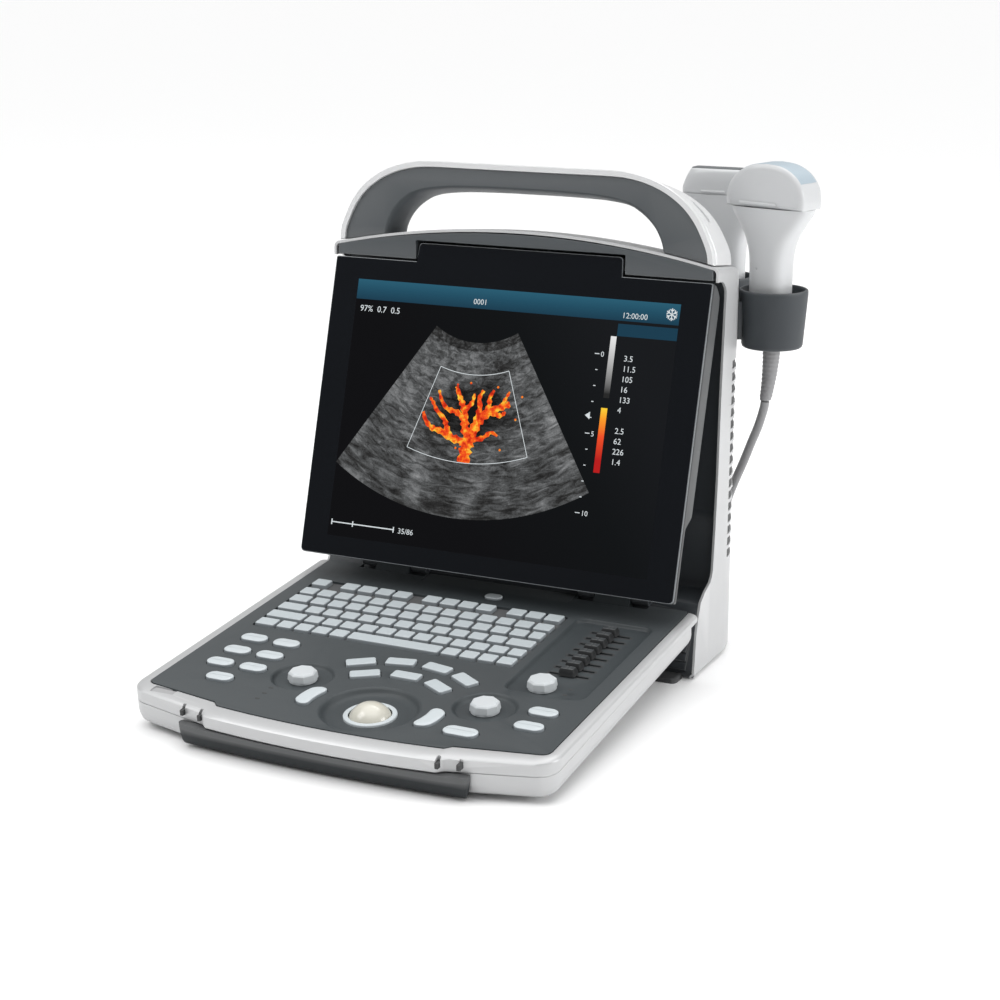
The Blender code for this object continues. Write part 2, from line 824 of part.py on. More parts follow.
def panel_cover():
    piece = make("panel_cover", lambda bm: prism(bm, cover_outline(), COVER_BOTTOM, COVER_TOP), DARK, PANEL)
    boolean(piece, knuckle_notches, "DIFFERENCE", PANEL)
    boolean(piece, panel_knuckles, "UNION", PANEL)
    bore = (HINGE_IN_PANEL.y, HINGE_IN_PANEL.z, 1.9, (50, 125))
    boolean(piece, lambda bm: bores(bm, *bore), "DIFFERENCE", PANEL)
    boolean(piece, cover_recesses, "DIFFERENCE", PANEL)
    boolean(piece, cover_holes, "DIFFERENCE", PANEL)


SEAM = -7.6


def panel_rim():
    """The silver frame round the cover's front and sides."""
    inner, outer = cover_outline(GAP, 60), rim_outline(75)

    def build(bm):
        loops = [
            level(inner, SEAM),
            level(inner, -2.2),
            level(inset(inner, -1), -1.9),
            level(inset(outer, 0.8), -5.2),
            level(outer, -6.2),
            level(outer, SEAM),
        ]
        loft(bm, loops, ring=True)

    def rear(bm):
        prism(bm, [(-160, 27), (160, 27), (160, 90), (-160, 90)], -20, 20)

    boolean(make("panel_rim", build, SILVER, PANEL), rear, "DIFFERENCE", PANEL)


GRIP_HALF = 103.0


def grip_outline(grow=0.0):
    half = GRIP_HALF + grow
    corners = [(-half, -210.9 + grow, 2), (-half, -216.2 - grow, 3)]
    for i in range(-4, 5):
        x = 22 * i
        corners.append((x, -222.6 + 5.4 * (x / 103) ** 2 - grow, 0))
    corners += [(half, -216.2 - grow, 3), (half, -210.9 + grow, 2)]
    return anticlockwise(rounded(corners, 3))


def panel_base():
    """The panel's lower shell, a tray with a round boss under the ball."""
    outer = rim_outline()

    def build(bm):
        hollow = ((BASE_BOTTOM + 3, 11), (-12, 4.5), (SEAM - GAP, 4.5))
        skin = ((SEAM - GAP, 0), (-14, 0.3), (-20, 2.6), (-23.5, 6.5), (BASE_BOTTOM, 10))
        loft(bm, [level(inset(outer, shrink), z) for z, shrink in hollow + skin])

    piece = make("panel_base", build, SILVER, PANEL)
    boss = [(18, -22), (18, -28.6), (17, -29.4)]
    boolean(piece, lambda bm: turned(bm, boss, BALL_X, -BALL_U), "UNION", PANEL)
    well = [(15.8, -10), (15.8, -26), (10, -28.0)]
    boolean(piece, lambda bm: turned(bm, well, BALL_X, -BALL_U), "DIFFERENCE", PANEL)
    boolean(piece, lambda bm: prism(bm, grip_outline(GAP), -40, 10), "DIFFERENCE", PANEL)
    boolean(piece, lambda bm: prism(bm, cover_outline(GAP), COVER_BOTTOM - GAP, 10), "DIFFERENCE", PANEL)
    boolean(piece, knuckle_notches, "DIFFERENCE", PANEL)


def front_grip():
    """The dark bar under the panel's front edge, which comes down close to the surface below."""
    outline = grip_outline()

    def build(bm):
        loops = [level(outline, SEAM - 2 * GAP), level(outline, -14)]
        lower = [(x, max(y, -219.5 + 3.4 * (x / 103) ** 2)) for x, y in outline]
        lowest = [(x * 0.985, max(y, -216.5 + 3.4 * (x / 103) ** 2)) for x, y in outline]
        loops += [level(lower, -25), level(lowest, -28.8)]
        loft(bm, loops)

    make("front_grip", build, DARK, PANEL)


MAT_TOP = -3.0


def keymat():
    """The silicone mat with its alphanumeric keys and the seven keys set in arcs."""

    def plate(bm):
        low, high, near, far = WELL
        flange = [(low - 4, -far - 3), (-40, -far - 3), (-40, -133), (58, -133), (58, -far - 3)]
        flange += [(high + 3, -far - 3), (high + 3, -near + 4), (low - 4, -near + 4)]
        prism(bm, flange, -11.3, COVER_BOTTOM - GAP)

    def keys(bm):
        prism(bm, well_outline(-0.5), -11.0, MAT_TOP)

    def tops(bm):
        for x, width, row in key_rows():
            outline = box_outline(x + width / 2, -row - KEY_DEPTH / 2, width, KEY_DEPTH)
            loft(bm, [level(outline, MAT_TOP - 1), level(outline, -1.0), level(inset(outline, 0.5), 0)])
        for radius, angle in ARC_KEYS:
            outline = arc_key_outline(radius, angle)
            loft(bm, [level(outline, -10.5), level(outline, -0.6), level(inset(outline, 0.5), BUTTON_TOP)])

    piece = make("keymat", plate, KEY, PANEL)
    boolean(piece, keys, "UNION", PANEL)
    boolean(piece, tops, "UNION", PANEL)


def control_board():
    outline = rounded([(-118, -194, 3), (118, -194, 3), (118, 14, 3), (-118, 14, 3)], 2)
    piece = make("control_board", lambda bm: prism(bm, outline, -16.0, -14.4), BOARD, PANEL)
    boolean(piece, lambda bm: prism(bm, circle(BALL_X, -BALL_U, 17, 24), -20, -10), "DIFFERENCE", PANEL)


def button(name, outline):
    """A button with its shaft through the cover, standing clear of the board by its travel."""
    centre = sum((Vector(p) for p in outline), Vector((0, 0))) / len(outline)

    def build(bm):
        low = -14.4 + BUTTON_TRAVEL_ROOM + GAP
        top = level(inset(outline, 0.6), BUTTON_TOP)
        loft(bm, [level(outline, low), level(outline, BUTTON_TOP - 0.7), top])

    make(name, build, KEY, PANEL, (centre.x, centre.y, BUTTON_TOP))


def knob(name, x, u, top):
    """A fluted knob on a shaft."""

    def build(bm):
        loops = [level(circle(x, -u, 3.0, 32), -14.0), level(circle(x, -u, 3.0, 32), RECESS_FLOOR + GAP)]
        flutes = [KNOB_RADIUS - (0.7 if i % 4 == 0 else 0) for i in range(32)]
        for z, scale in ((RECESS_FLOOR + GAP, 1.0), (top - 1.2, 0.97), (top, 0.86)):
            ring = [
                (x + r * scale * math.cos(math.tau * i / 32), -u + r * scale * math.sin(math.tau * i / 32))
                for i, r in enumerate(flutes)
            ]
            loops.append(level(ring, z))
        loft(bm, loops)

    make(name, build, KEY, PANEL, (x, -u, RECESS_FLOOR))


def trackball_ring():
    def build(bm):
        profile = ((15.2, -8.6), (14.0, -5.9), (13.7, -5.3), (16.6, -5.3), (17.1, -5.8), (17.1, -8.6))
        loft(bm, [level(circle(BALL_X, -BALL_U, radius, 32), z) for radius, z in profile], ring=True)

    make("trackball_ring", build, KEY, PANEL)


def trackball():
    def build(bm):
        bmesh.ops.create_uvsphere(bm, u_segments=24, v_segments=14, radius=BALL_RADIUS)
        bmesh.ops.translate(bm, verts=bm.verts, vec=(BALL_X, -BALL_U, BALL_CENTRE))

    make("trackball", build, IVORY, PANEL, (BALL_X, -BALL_U, BALL_CENTRE))


def gain_slider(i):
    """A slider's stem through its slot and the cap on it."""
    u = slot_centre(i)

    def stem(bm):
        prism(bm, box_outline(SLIDER_X, -u, 3.4, 1.3), -13.6, RECESS_FLOOR + 1.2)

    def cap(bm):
        low = box_outline(SLIDER_X, -u, 13.6, 7.8, 1.2)
        top = box_outline(SLIDER_X, -u, 10.6, 6.2, 1.0)
        loft(bm, [level(low, RECESS_FLOOR + 0.8), level(low, -1.2), level(top, 1.2)])

    piece = make(f"gain_slider_{i + 1}", stem, BLACK, PANEL, (SLIDER_X, -u, 0))
    boolean(piece, cap, "UNION", PANEL)


def hinge_pin(side):
    ends = sorted((side * 58.5, side * 113.5))
    make(
        "hinge_pin_left" if side < 0 else "hinge_pin_right",
        lambda bm: prism(bm, circle(HINGE_Y, HINGE_Z, 1.6, 12), ends[0], ends[1], sideways),
        STEEL,
        SCANNER,
        (0, HINGE_Y, HINGE_Z),
    )


# ---------------------------------------------------------------- probes and their holders


def cup_centre(angle):
    a = math.radians(angle)
    return CORNER_X + CUP_REACH * math.cos(a), CORNER_Y + CUP_REACH * math.sin(a)


def probe_holder(name, angle):
    """A cup with a slot for the cable, on a pad against the housing's corner."""
    x, y = cup_centre(angle)
    open_at = math.radians(angle + 90)
    half_slot = math.radians(19)

    def section(outer, inner, z):
        count = 20
        span = 2 * math.pi - 2 * half_slot
        arc = [open_at + half_slot + span * i / count for i in range(count + 1)]
        loop = [(x + outer * math.cos(a), y + outer * math.sin(a), z) for a in arc]
        return loop + [(x + inner * math.cos(a), y + inner * math.sin(a), z) for a in arc[::-1]]

    def cup(bm):
        loft(
            bm,
            [
                section(22.8, 19.4, CUP_BOTTOM),
                section(23.4, 20.4, CUP_BOTTOM + 2),
                section(CUP_RADIUS, 21.6, CUP_TOP - 3),
                section(CUP_RADIUS, 22.0, CUP_TOP - 1),
                section(CUP_RADIUS - 0.8, 22.6, CUP_TOP),
            ],
        )

    def pad(bm):
        back = math.radians(angle + 180)
        out = Vector((math.cos(back), math.sin(back)))
        across = Vector((-out.y, out.x))
        centre = Vector((x, y))
        reach = CUP_REACH - CORNER_RADIUS - GAP - 0.1
        corners = [centre + out * 22.4 - across * 5, centre + out * reach - across * 5]
        corners += [centre + out * reach + across * 5, centre + out * 22.4 + across * 5]
        prism(bm, [tuple(c) for c in corners], CUP_BOTTOM + 6, CUP_TOP - 8)

    boolean(make(name, cup, DARK), pad, "UNION")


def probe_section(x, y, wide, deep, z, turn, count=24):
    """A soft rectangle across the probe."""
    c, s = math.cos(math.radians(turn)), math.sin(math.radians(turn))
    loop = []
    for i in range(count):
        a = 2 * math.pi * (i + 0.5) / count
        px = wide * math.copysign(abs(math.cos(a)) ** 0.6, math.cos(a))
        py = deep * math.copysign(abs(math.sin(a)) ** 0.6, math.sin(a))
        loop.append((x + c * px - s * py, y + s * px + c * py, z))
    return loop


CONVEX_BODY = [(9, 9, 217.6), (12, 11.5, 224), (14.4, 12.4, 238), (15, 12.8, 262), (15.5, 13, 282)]
CONVEX_BODY += [(18.5, 13.2, 294), (24.5, 13.3, 304), (28.6, 13, 310), (29.2, 12.9, 313.7)]
CONVEX_NOSE = [(29.2, 12.7, 314), (29.4, 12.5, 322), (28.0, 12.2, 329)]
CONVEX_NOSE += [(24.0, 11.6, 335.5), (17, 10.6, 340), (8, 9, 343)]


def convex_probe():
    x, y = cup_centre(FRONT_CUP_ANGLE)

    def loops(sections):
        return [probe_section(x, y, wide, deep, z, PROBE_TURN) for wide, deep, z in sections]

    make("probe_shell", lambda bm: loft(bm, loops(CONVEX_BODY)), PROBE, SCANNER, (x, y, 217.6))
    make("probe_nose", lambda bm: loft(bm, loops(CONVEX_NOSE)), PROBE, SCANNER, (x, y, 217.6))


LINEAR_BODY = [(9, 9, 217.6), (12, 11, 224), (14.5, 12, 240), (15, 12.2, 268), (16, 12.4, 284)]
LINEAR_BODY += [(21, 12.6, 300), (25.4, 12.4, 312), (25.8, 12.2, 326), (24.6, 9.5, 333)]


def linear_probe():
    x, y = cup_centre(REAR_CUP_ANGLE)

    def build(bm):
        loft(bm, [probe_section(x, y, wide, deep, z, 0, 20) for wide, deep, z in LINEAR_BODY])

    make("linear_probe", build, PROBE, SCANNER, (x, y, 217.6))


# ---------------------------------------------------------------- the probe's cable


def smooth_line(route, spacing):
    """Points read at an even spacing from a smooth curve through the route."""
    points = [Vector(p) for p in route]
    ends = [2 * points[0] - points[1]] + points + [2 * points[-1] - points[-2]]
    fine = []
    for i in range(1, len(ends) - 2):
        a, b, c, d = ends[i - 1 : i + 3]
        for step in range(20):
            t = step / 20
            bend = (2 * a - 5 * b + 4 * c - d) * t * t + (3 * b - a - 3 * c + d) * t**3
            fine.append(0.5 * (2 * b + (c - a) * t + bend))
    fine.append(points[-1])
    length = sum((q - p).length for p, q in zip(fine, fine[1:]))
    count = max(2, round(length / spacing))
    even, walked, target = [fine[0]], 0.0, length / count
    for p, q in zip(fine, fine[1:]):
        walked += (q - p).length
        if walked >= target * len(even) and len(even) < count:
            even.append(q)
    return even + [fine[-1]]


def tube(name, route):
    curve = bpy.data.curves.new(name, "CURVE")
    curve.dimensions = "3D"
    curve.bevel_depth = CABLE_RADIUS / 1000
    curve.bevel_resolution = 2
    curve.use_fill_caps = True
    curve.materials.append(CABLE)
    points = smooth_line(route, 2.4 * 2 * CABLE_RADIUS)
    spline = curve.splines.new("POLY")
    spline.points.add(len(points) - 1)
    for place, point in zip(spline.points, points):
        place.co = (*(point / 1000), 1)
    made = bpy.data.objects.new(name, curve)
    bpy.context.scene.collection.objects.link(made)
    made.matrix_world = SCANNER


COIL_EDGE_Y = COIL_Y - COIL_OUT + CABLE_RADIUS

CABLE_FALL = [
    (156.7, 140.35, 176.8),
    (155.6, 140.9, 171),
    (151.2, 144.0, 158),
    (144.7, 149.0, 144),
    (136.8, 156.0, 127),
    (128.1, 164.0, 110),
    (119.5, 171.0, 90),
    (113.0, 175.0, 68),
    (107.5, 176.5, 45),
    (100.5, 176.0, 24),
    (89.0, 173.6, 9.5),
    (74.0, 170.4, 3.6),
    (59.0, 167.8, 3.15),
    (COIL_X + 24.6, COIL_EDGE_Y, 3.15),
]
CABLE_RISE = [
    (COIL_X - 24.6, COIL_EDGE_Y, 9.3),
    (-17.0, COIL_EDGE_Y + 0.9, 5.6),
    (-29.0, 169.9, 6.4),
    (-38.5, 173.0, 13.5),
    (-44.3, 175.3, 25.5),
    (-45.9, 175.95, 38),
    (CONNECTOR_X, CONNECTOR_Y, 46.0 - GAP),
]


def cable_relief():
    """The tapered sleeve below the probe, ribbed for bending."""
    x, y = cup_centre(FRONT_CUP_ANGLE)

    def build(bm):
        loops = []
        for i in range(11):
            t = i / 10
            radius = 6.0 - 2.2 * t + (0.35 if i % 2 else 0)
            cx = x + (156.8 - x) * t * t
            cy = y + (140.3 - y) * t * t
            loops.append(level(circle(cx, cy, radius, 14), 217.2 - 39.2 * t))
        loft(bm, loops)

    make("cable_relief", build, CABLE, SCANNER, (x, y, 217.2))


def cable_coil():
    def build(bm):
        profile = ((COIL_IN, 0.1), (COIL_OUT, 0.1), (COIL_OUT, 12.3), (COIL_IN, 12.3))
        loft(bm, [level(circle(COIL_X, COIL_Y, radius, 32), z) for radius, z in profile], ring=True)

    make("cable_coil", build, CABLE)


def connector():
    """The cable's plug in its socket, with a sleeve for the cable at its foot."""

    def build(bm):
        outer = box_outline(CONNECTOR_X, CONNECTOR_Z + 24, 62, 44, 5)
        steps = ((0.6, 163.3), (0, 165), (0, 186), (2, 188.5))
        loft(bm, [upright(inset(outer, shrink), y) for shrink, y in steps])

    def sleeve(bm):
        turned(bm, [(4.0, 46.0), (6.2, 60), (6.2, 66)], CONNECTOR_X, CONNECTOR_Y, 14)

    boolean(make("connector", build, DARK), sleeve, "UNION")


# ---------------------------------------------------------------- assembly

rear_housing()
front_housing()
front_foot_bar()
brow_cover()
handle_band()
handle_grip()
main_board()
power_supply()
battery_pack()
fan_frame()
fan_rotor()
probe_socket()
monitor_glass()
monitor_back()
lcd_module()
monitor_shaft()
panel_cover()
panel_rim()
panel_base()
front_grip()
keymat()
control_board()
trackball_ring()
trackball()
for button_name, button_shape in button_outlines().items():
    button(button_name, button_shape)
for knob_name, (knob_x, knob_u) in KNOBS.items():
    knob(knob_name, knob_x, knob_u, 2.2)
for slider_index in range(SLIDER_COUNT):
    gain_slider(slider_index)
for pin_side in (-1, 1):
    hinge_pin(pin_side)
probe_holder("front_probe_holder", FRONT_CUP_ANGLE)
probe_holder("rear_probe_holder", REAR_CUP_ANGLE)
convex_probe()
linear_probe()
cable_relief()
tube("cable_fall", CABLE_FALL)
cable_coil()
tube("cable_rise", CABLE_RISE)
connector()
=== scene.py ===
import bpy
import bmesh
import math
from mathutils import Matrix, Vector


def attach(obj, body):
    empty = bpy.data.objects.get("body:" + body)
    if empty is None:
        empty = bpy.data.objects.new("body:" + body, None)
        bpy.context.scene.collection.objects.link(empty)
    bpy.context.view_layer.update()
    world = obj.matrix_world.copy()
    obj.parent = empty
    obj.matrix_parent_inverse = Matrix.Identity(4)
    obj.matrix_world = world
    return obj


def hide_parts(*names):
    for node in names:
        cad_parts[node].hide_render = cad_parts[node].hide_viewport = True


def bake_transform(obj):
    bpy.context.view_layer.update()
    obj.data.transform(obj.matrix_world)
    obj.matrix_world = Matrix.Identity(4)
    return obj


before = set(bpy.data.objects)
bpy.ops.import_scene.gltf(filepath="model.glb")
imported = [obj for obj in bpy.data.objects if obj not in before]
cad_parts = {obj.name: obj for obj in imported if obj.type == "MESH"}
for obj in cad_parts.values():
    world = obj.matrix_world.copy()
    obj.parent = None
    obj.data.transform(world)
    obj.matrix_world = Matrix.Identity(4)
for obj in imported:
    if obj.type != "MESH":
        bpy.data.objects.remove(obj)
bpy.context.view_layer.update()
print("frame loaded")

mm = 0.001
scannerFrame = Matrix.Translation((-20.65 * mm, 7.45 * mm, 0))
panelFrame = scannerFrame @ Matrix.Translation((0, 0, 47.24 * mm)) @ Matrix.Rotation(math.radians(4.65), 4, "X")
monitorFrame = (
    scannerFrame
    @ Matrix.Translation((0, 70.88 * mm, 275.46 * mm))
    @ Matrix.Rotation(math.radians(-16.5), 4, "X")
)


# camera, floor and lights

studio = {
    "lens": 73.48,
    "place": (599.98, -1202.79, 490.53),
    "turn": 25.837,
    "down": 15.382,
    "floor": (0.93, 0.93, 0.93),
    "horizon": 0.42,
    "zenith": 2.3,
}


def makeStudio():
    bpy.ops.object.camera_add()
    camera = bpy.context.object
    camera.data.lens = studio["lens"]
    camera.data.sensor_width = 36
    camera.data.clip_end = 50
    camera.location = scannerFrame @ (Vector(studio["place"]) * mm)
    camera.rotation_euler = (math.radians(90 - studio["down"]), 0, math.radians(studio["turn"]))
    bpy.context.scene.camera = camera
    bpy.ops.mesh.primitive_plane_add(size=90)
    floor = bpy.context.object
    floor.name = "floor"
    paint = bpy.data.materials.new("floorPaper")
    paint.use_nodes = True
    paint.node_tree.nodes["Principled BSDF"].inputs["Base Color"].default_value = (*studio["floor"], 1)
    paint.node_tree.nodes["Principled BSDF"].inputs["Roughness"].default_value = 0.9
    floor.data.materials.append(paint)
    for place, turn, size, power in (
        ((-1.3, -1.1, 1.7), (42, 0, -48), 1.2, 15),
        ((1.8, 0.3, 0.7), (0, 72, 0), 0.9, 15),
        ((0.2, 1.4, 1.9), (-40, 0, 0), 1.2, 8),
    ):
        bpy.ops.object.light_add(type="AREA", location=place, rotation=[math.radians(a) for a in turn])
        bpy.context.object.data.size = size
        bpy.context.object.data.energy = power
    world = bpy.data.worlds.new("studioWorld")
    world.use_nodes = True
    tree = world.node_tree
    tree.nodes["Background"].inputs["Color"].default_value = (1, 1, 1, 1)
    place = tree.nodes.new("ShaderNodeTexCoord")
    split = tree.nodes.new("ShaderNodeSeparateXYZ")
    fade = tree.nodes.new("ShaderNodeMapRange")
    fade.interpolation_type = "SMOOTHSTEP"
    for label, value in (
        ("From Min", 0.66), ("From Max", 0.95), ("To Min", studio["horizon"]), ("To Max", studio["zenith"])
    ):
        fade.inputs[label].default_value = value
    tree.links.new(place.outputs["Generated"], split.inputs[0])
    tree.links.new(split.outputs["Z"], fade.inputs["Value"])
    tree.links.new(fade.outputs["Result"], tree.nodes["Background"].inputs["Strength"])
    bpy.context.scene.world = world
    bpy.context.scene.view_settings.view_transform = "Standard"
    print("studio ready")


# shader groups shared by the materials


def newGroup(name, numbers, colours, outs):
    group = bpy.data.node_groups.new(name, "ShaderNodeTree")
    for label, value in numbers.items():
        socket = group.interface.new_socket(label, in_out="INPUT", socket_type="NodeSocketFloat")
        socket.default_value = value
    for label, value in colours.items():
        socket = group.interface.new_socket(label, in_out="INPUT", socket_type="NodeSocketColor")
        socket.default_value = (*value, 1)
    for label, kind in outs.items():
        group.interface.new_socket(label, in_out="OUTPUT", socket_type=kind)
    entry = group.nodes.new("NodeGroupInput")
    leave = group.nodes.new("NodeGroupOutput")
    return group, entry, leave


def addNode(tree, kind, **values):
    node = tree.nodes.new(kind)
    for key, value in values.items():
        if key in node.inputs:
            node.inputs[key].default_value = value
        else:
            setattr(node, key, value)
    return node


def mathStep(tree, operation, first, second, clamp=False):
    node = tree.nodes.new("ShaderNodeMath")
    node.operation = operation
    node.use_clamp = clamp
    for i, value in enumerate((first, second)):
        if isinstance(value, (int, float)):
            node.inputs[i].default_value = value
        else:
            tree.links.new(value, node.inputs[i])
    return node.outputs[0]


def blendColours(tree, mask, first, second, mode="MIX"):
    node = tree.nodes.new("ShaderNodeMix")
    node.data_type = "RGBA"
    node.blend_type = mode
    for socket, value in ((node.inputs[0], mask), (node.inputs[6], first), (node.inputs[7], second)):
        if isinstance(value, (int, float)):
            socket.default_value = value
        elif isinstance(value, tuple):
            socket.default_value = (*value, 1)
        else:
            tree.links.new(value, socket)
    return node.outputs[2]


def makeMouldedGroup():
    # moulded or painted plastic: fine grain, slow random tone changes, rubbed patches in the roughness, and a
    # painted highlight that lightens sharp edges
    outs = {"Colour": "NodeSocketColor", "Roughness": "NodeSocketFloat", "Height": "NodeSocketFloat"}
    numbers = {"Grain": 900.0, "Mottle": 0.05, "Rough": 0.5, "Rubbed": 0.1, "Edge": 0.25}
    group, entry, leave = newGroup("mouldedSurface", numbers, {"Colour": (0.5, 0.5, 0.5)}, outs)
    link = group.links.new
    place = addNode(group, "ShaderNodeTexCoord")
    grain = addNode(group, "ShaderNodeTexNoise", Detail=3.0, Roughness=0.6)
    link(place.outputs["Object"], grain.inputs["Vector"])
    link(entry.outputs["Grain"], grain.inputs["Scale"])
    slow = addNode(group, "ShaderNodeTexNoise", Scale=16.0, Detail=4.0, Roughness=0.55)
    link(place.outputs["Object"], slow.inputs["Vector"])
    hand = addNode(group, "ShaderNodeTexNoise", Scale=55.0, Detail=5.0, Distortion=0.8)
    link(place.outputs["Object"], hand.inputs["Vector"])
    shade = mathStep(group, "SUBTRACT", slow.outputs["Fac"], 0.5)
    shade = mathStep(group, "MULTIPLY", shade, entry.outputs["Mottle"])
    shade = mathStep(group, "MULTIPLY", shade, 2.0)
    shade = mathStep(group, "ADD", shade, 1.0)
    mixed = blendColours(group, 1.0, entry.outputs["Colour"], shade, "MULTIPLY")
    # painted highlight: edges found by pointiness are blended towards light grey, standing in for light caught
    # on the bevels
    shape = addNode(group, "ShaderNodeNewGeometry")
    edge = mathStep(group, "SUBTRACT", shape.outputs["Pointiness"], 0.53)
    edge = mathStep(group, "MULTIPLY", edge, 9.0, clamp=True)
    edge = mathStep(group, "MULTIPLY", edge, entry.outputs["Edge"])
    edgeHighlit = blendColours(group, edge, mixed, (0.9, 0.9, 0.9))
    link(edgeHighlit, leave.inputs["Colour"])
    rough = mathStep(group, "SUBTRACT", hand.outputs["Fac"], 0.5)
    rough = mathStep(group, "MULTIPLY", rough, entry.outputs["Rubbed"])
    rough = mathStep(group, "ADD", rough, entry.outputs["Rough"])
    fine = mathStep(group, "MULTIPLY", grain.outputs["Fac"], 0.06)
    link(mathStep(group, "ADD", rough, fine, clamp=True), leave.inputs["Roughness"])
    link(grain.outputs["Fac"], leave.inputs["Height"])
    return group


mouldedSurface = makeMouldedGroup()


def mouldedMaterial(name, colour, rough, grain=900.0, mottle=0.05, rubbed=0.1, edge=0.2, bump=0.15, **fixed):
    made = bpy.data.materials.new(name)
    made.use_nodes = True
    tree = made.node_tree
    shader = tree.nodes["Principled BSDF"]
    surface = tree.nodes.new("ShaderNodeGroup")
    surface.node_tree = mouldedSurface
    # the edge value sets how strongly sharp edges get the painted highlight
    for label, value in {
        "Grain": grain, "Mottle": mottle, "Rough": rough, "Rubbed": rubbed, "Edge": edge
    }.items():
        surface.inputs[label].default_value = value
    surface.inputs["Colour"].default_value = (*colour, 1)
    relief = addNode(tree, "ShaderNodeBump", Strength=bump, Distance=0.0002)
    tree.links.new(surface.outputs["Height"], relief.inputs["Height"])
    tree.links.new(surface.outputs["Colour"], shader.inputs["Base Color"])
    tree.links.new(surface.outputs["Roughness"], shader.inputs["Roughness"])
    tree.links.new(relief.outputs["Normal"], shader.inputs["Normal"])
    for label, value in fixed.items():
        shader.inputs[label.replace("_", " ")].default_value = value
    return made


darkPlastic = mouldedMaterial(
    "darkPlastic", (0.04, 0.046, 0.052), 0.46, 1500.0, 0.06, 0.12, 0.12, 0.25, Specular_IOR_Level=0.35
)
hoodPlastic = mouldedMaterial(
    "hoodPlastic", (0.068, 0.076, 0.082), 0.48, 1500.0, 0.06, 0.12, 0.12, 0.25, Specular_IOR_Level=0.35
)
coverPlastic = mouldedMaterial(
    "coverPlastic", (0.047, 0.055, 0.059), 0.44, 1500.0, 0.06, 0.12, 0.12, 0.22, Specular_IOR_Level=0.35
)
greyPlastic = mouldedMaterial("greyPlastic", (0.046, 0.05, 0.052), 0.45, 1500.0, 0.06, 0.12, 0.1, 0.2)
silverPaint = mouldedMaterial(
    "silverPaint", (0.50, 0.505, 0.51), 0.34, 2600.0, 0.03, 0.08, 0.15, 0.06, Metallic=0.3
)
# a lighter copy of the silver paint for the handle band: painted highlight on the band
litBandPaint = mouldedMaterial(
    "litBandPaint", (0.66, 0.665, 0.67), 0.34, 2600.0, 0.03, 0.08, 0.15, 0.06, Metallic=0.2
)
lightPlastic = mouldedMaterial("lightPlastic", (0.56, 0.58, 0.6), 0.42, 1400.0, 0.04, 0.1, 0.15, 0.12)
# lit and shaded copies of one key grey: tops painted lighter, sides painted darker as shade
keyTopLit = mouldedMaterial("keyTopLit", (0.47, 0.515, 0.535), 0.45, 1300.0, 0.05, 0.16, 0.1, 0.12)
keySideShaded = mouldedMaterial("keySideShaded", (0.26, 0.29, 0.31), 0.5, 1300.0, 0.05, 0.12, 0.1, 0.12)
buttonTop = mouldedMaterial("buttonTop", (0.54, 0.585, 0.605), 0.36, 1100.0, 0.04, 0.12, 0.1, 0.08)
knobWhite = mouldedMaterial("knobWhite", (0.57, 0.60, 0.615), 0.3, 1100.0, 0.04, 0.1, 0.1, 0.08)
ballIvory = mouldedMaterial(
    "ballIvory", (0.60, 0.585, 0.51), 0.18, 300.0, 0.04, 0.05, 0.0, 0.02, Coat_Weight=0.6
)
# a lighter grey for the glass chamfer faces: a painted highlight along the glass edge
glassEdgeHighlight = mouldedMaterial("glassEdgeHighlight", (0.16, 0.172, 0.182), 0.25, 900.0, 0.1, 0.05, 0.0, 0.0)
blackPlastic = mouldedMaterial(
    "blackPlastic", (0.010, 0.011, 0.012), 0.5, 1300.0, 0.08, 0.12, 0.1, 0.15, Specular_IOR_Level=0.2
)
capPlastic = mouldedMaterial(
    "capPlastic", (0.045, 0.05, 0.053), 0.42, 1300.0, 0.06, 0.1, 0.15, 0.12, Specular_IOR_Level=0.35
)
labelGrey = mouldedMaterial("labelGrey", (0.33, 0.33, 0.335), 0.45, 1200.0, 0.04, 0.1, 0.1, 0.08)
gripPlastic = mouldedMaterial(
    "gripPlastic", (0.021, 0.0245, 0.027), 0.5, 1500.0, 0.06, 0.12, 0.1, 0.25, Specular_IOR_Level=0.25
)
softRubber = mouldedMaterial("softRubber", (0.028, 0.03, 0.032), 0.8, 1000.0, 0.1, 0.15, 0.1, 0.4)
blackGlass = mouldedMaterial(
    "blackGlass", (0.004, 0.005, 0.007), 0.06, 400.0, 0.1, 0.03, 0.0, 0.0, Specular_IOR_Level=0.14
)
probeWhite = mouldedMaterial(
    "probeWhite", (0.55, 0.56, 0.57), 0.33, 1200.0, 0.03, 0.1, 0.1, 0.06, Coat_Weight=0.2
)
probeLens = mouldedMaterial("probeLens", (0.36, 0.43, 0.48), 0.4, 800.0, 0.04, 0.1, 0.0, 0.08)
lensDark = mouldedMaterial("lensDark", (0.09, 0.10, 0.105), 0.4, 800.0, 0.04, 0.1, 0.0, 0.08)
cableGrey = mouldedMaterial("cableGrey", (0.26, 0.26, 0.265), 0.5, 900.0, 0.06, 0.12, 0.05, 0.2)
steelBright = mouldedMaterial(
    "steelBright", (0.55, 0.55, 0.56), 0.3, 1500.0, 0.05, 0.15, 0.2, 0.1, Metallic=1.0
)
boardGreen = mouldedMaterial("boardGreen", (0.015, 0.13, 0.06), 0.42, 700.0, 0.2, 0.15, 0.1, 0.3)
print("materials ready")


# modelling helpers, all in millimetres until a piece is put in its place


def clearSelection():
    if bpy.context.mode != "OBJECT":
        bpy.ops.object.mode_set(mode="OBJECT")
    bpy.ops.object.select_all(action="DESELECT")


def makeActive(piece):
    clearSelection()
    piece.select_set(True)
    bpy.context.view_layer.objects.active = piece


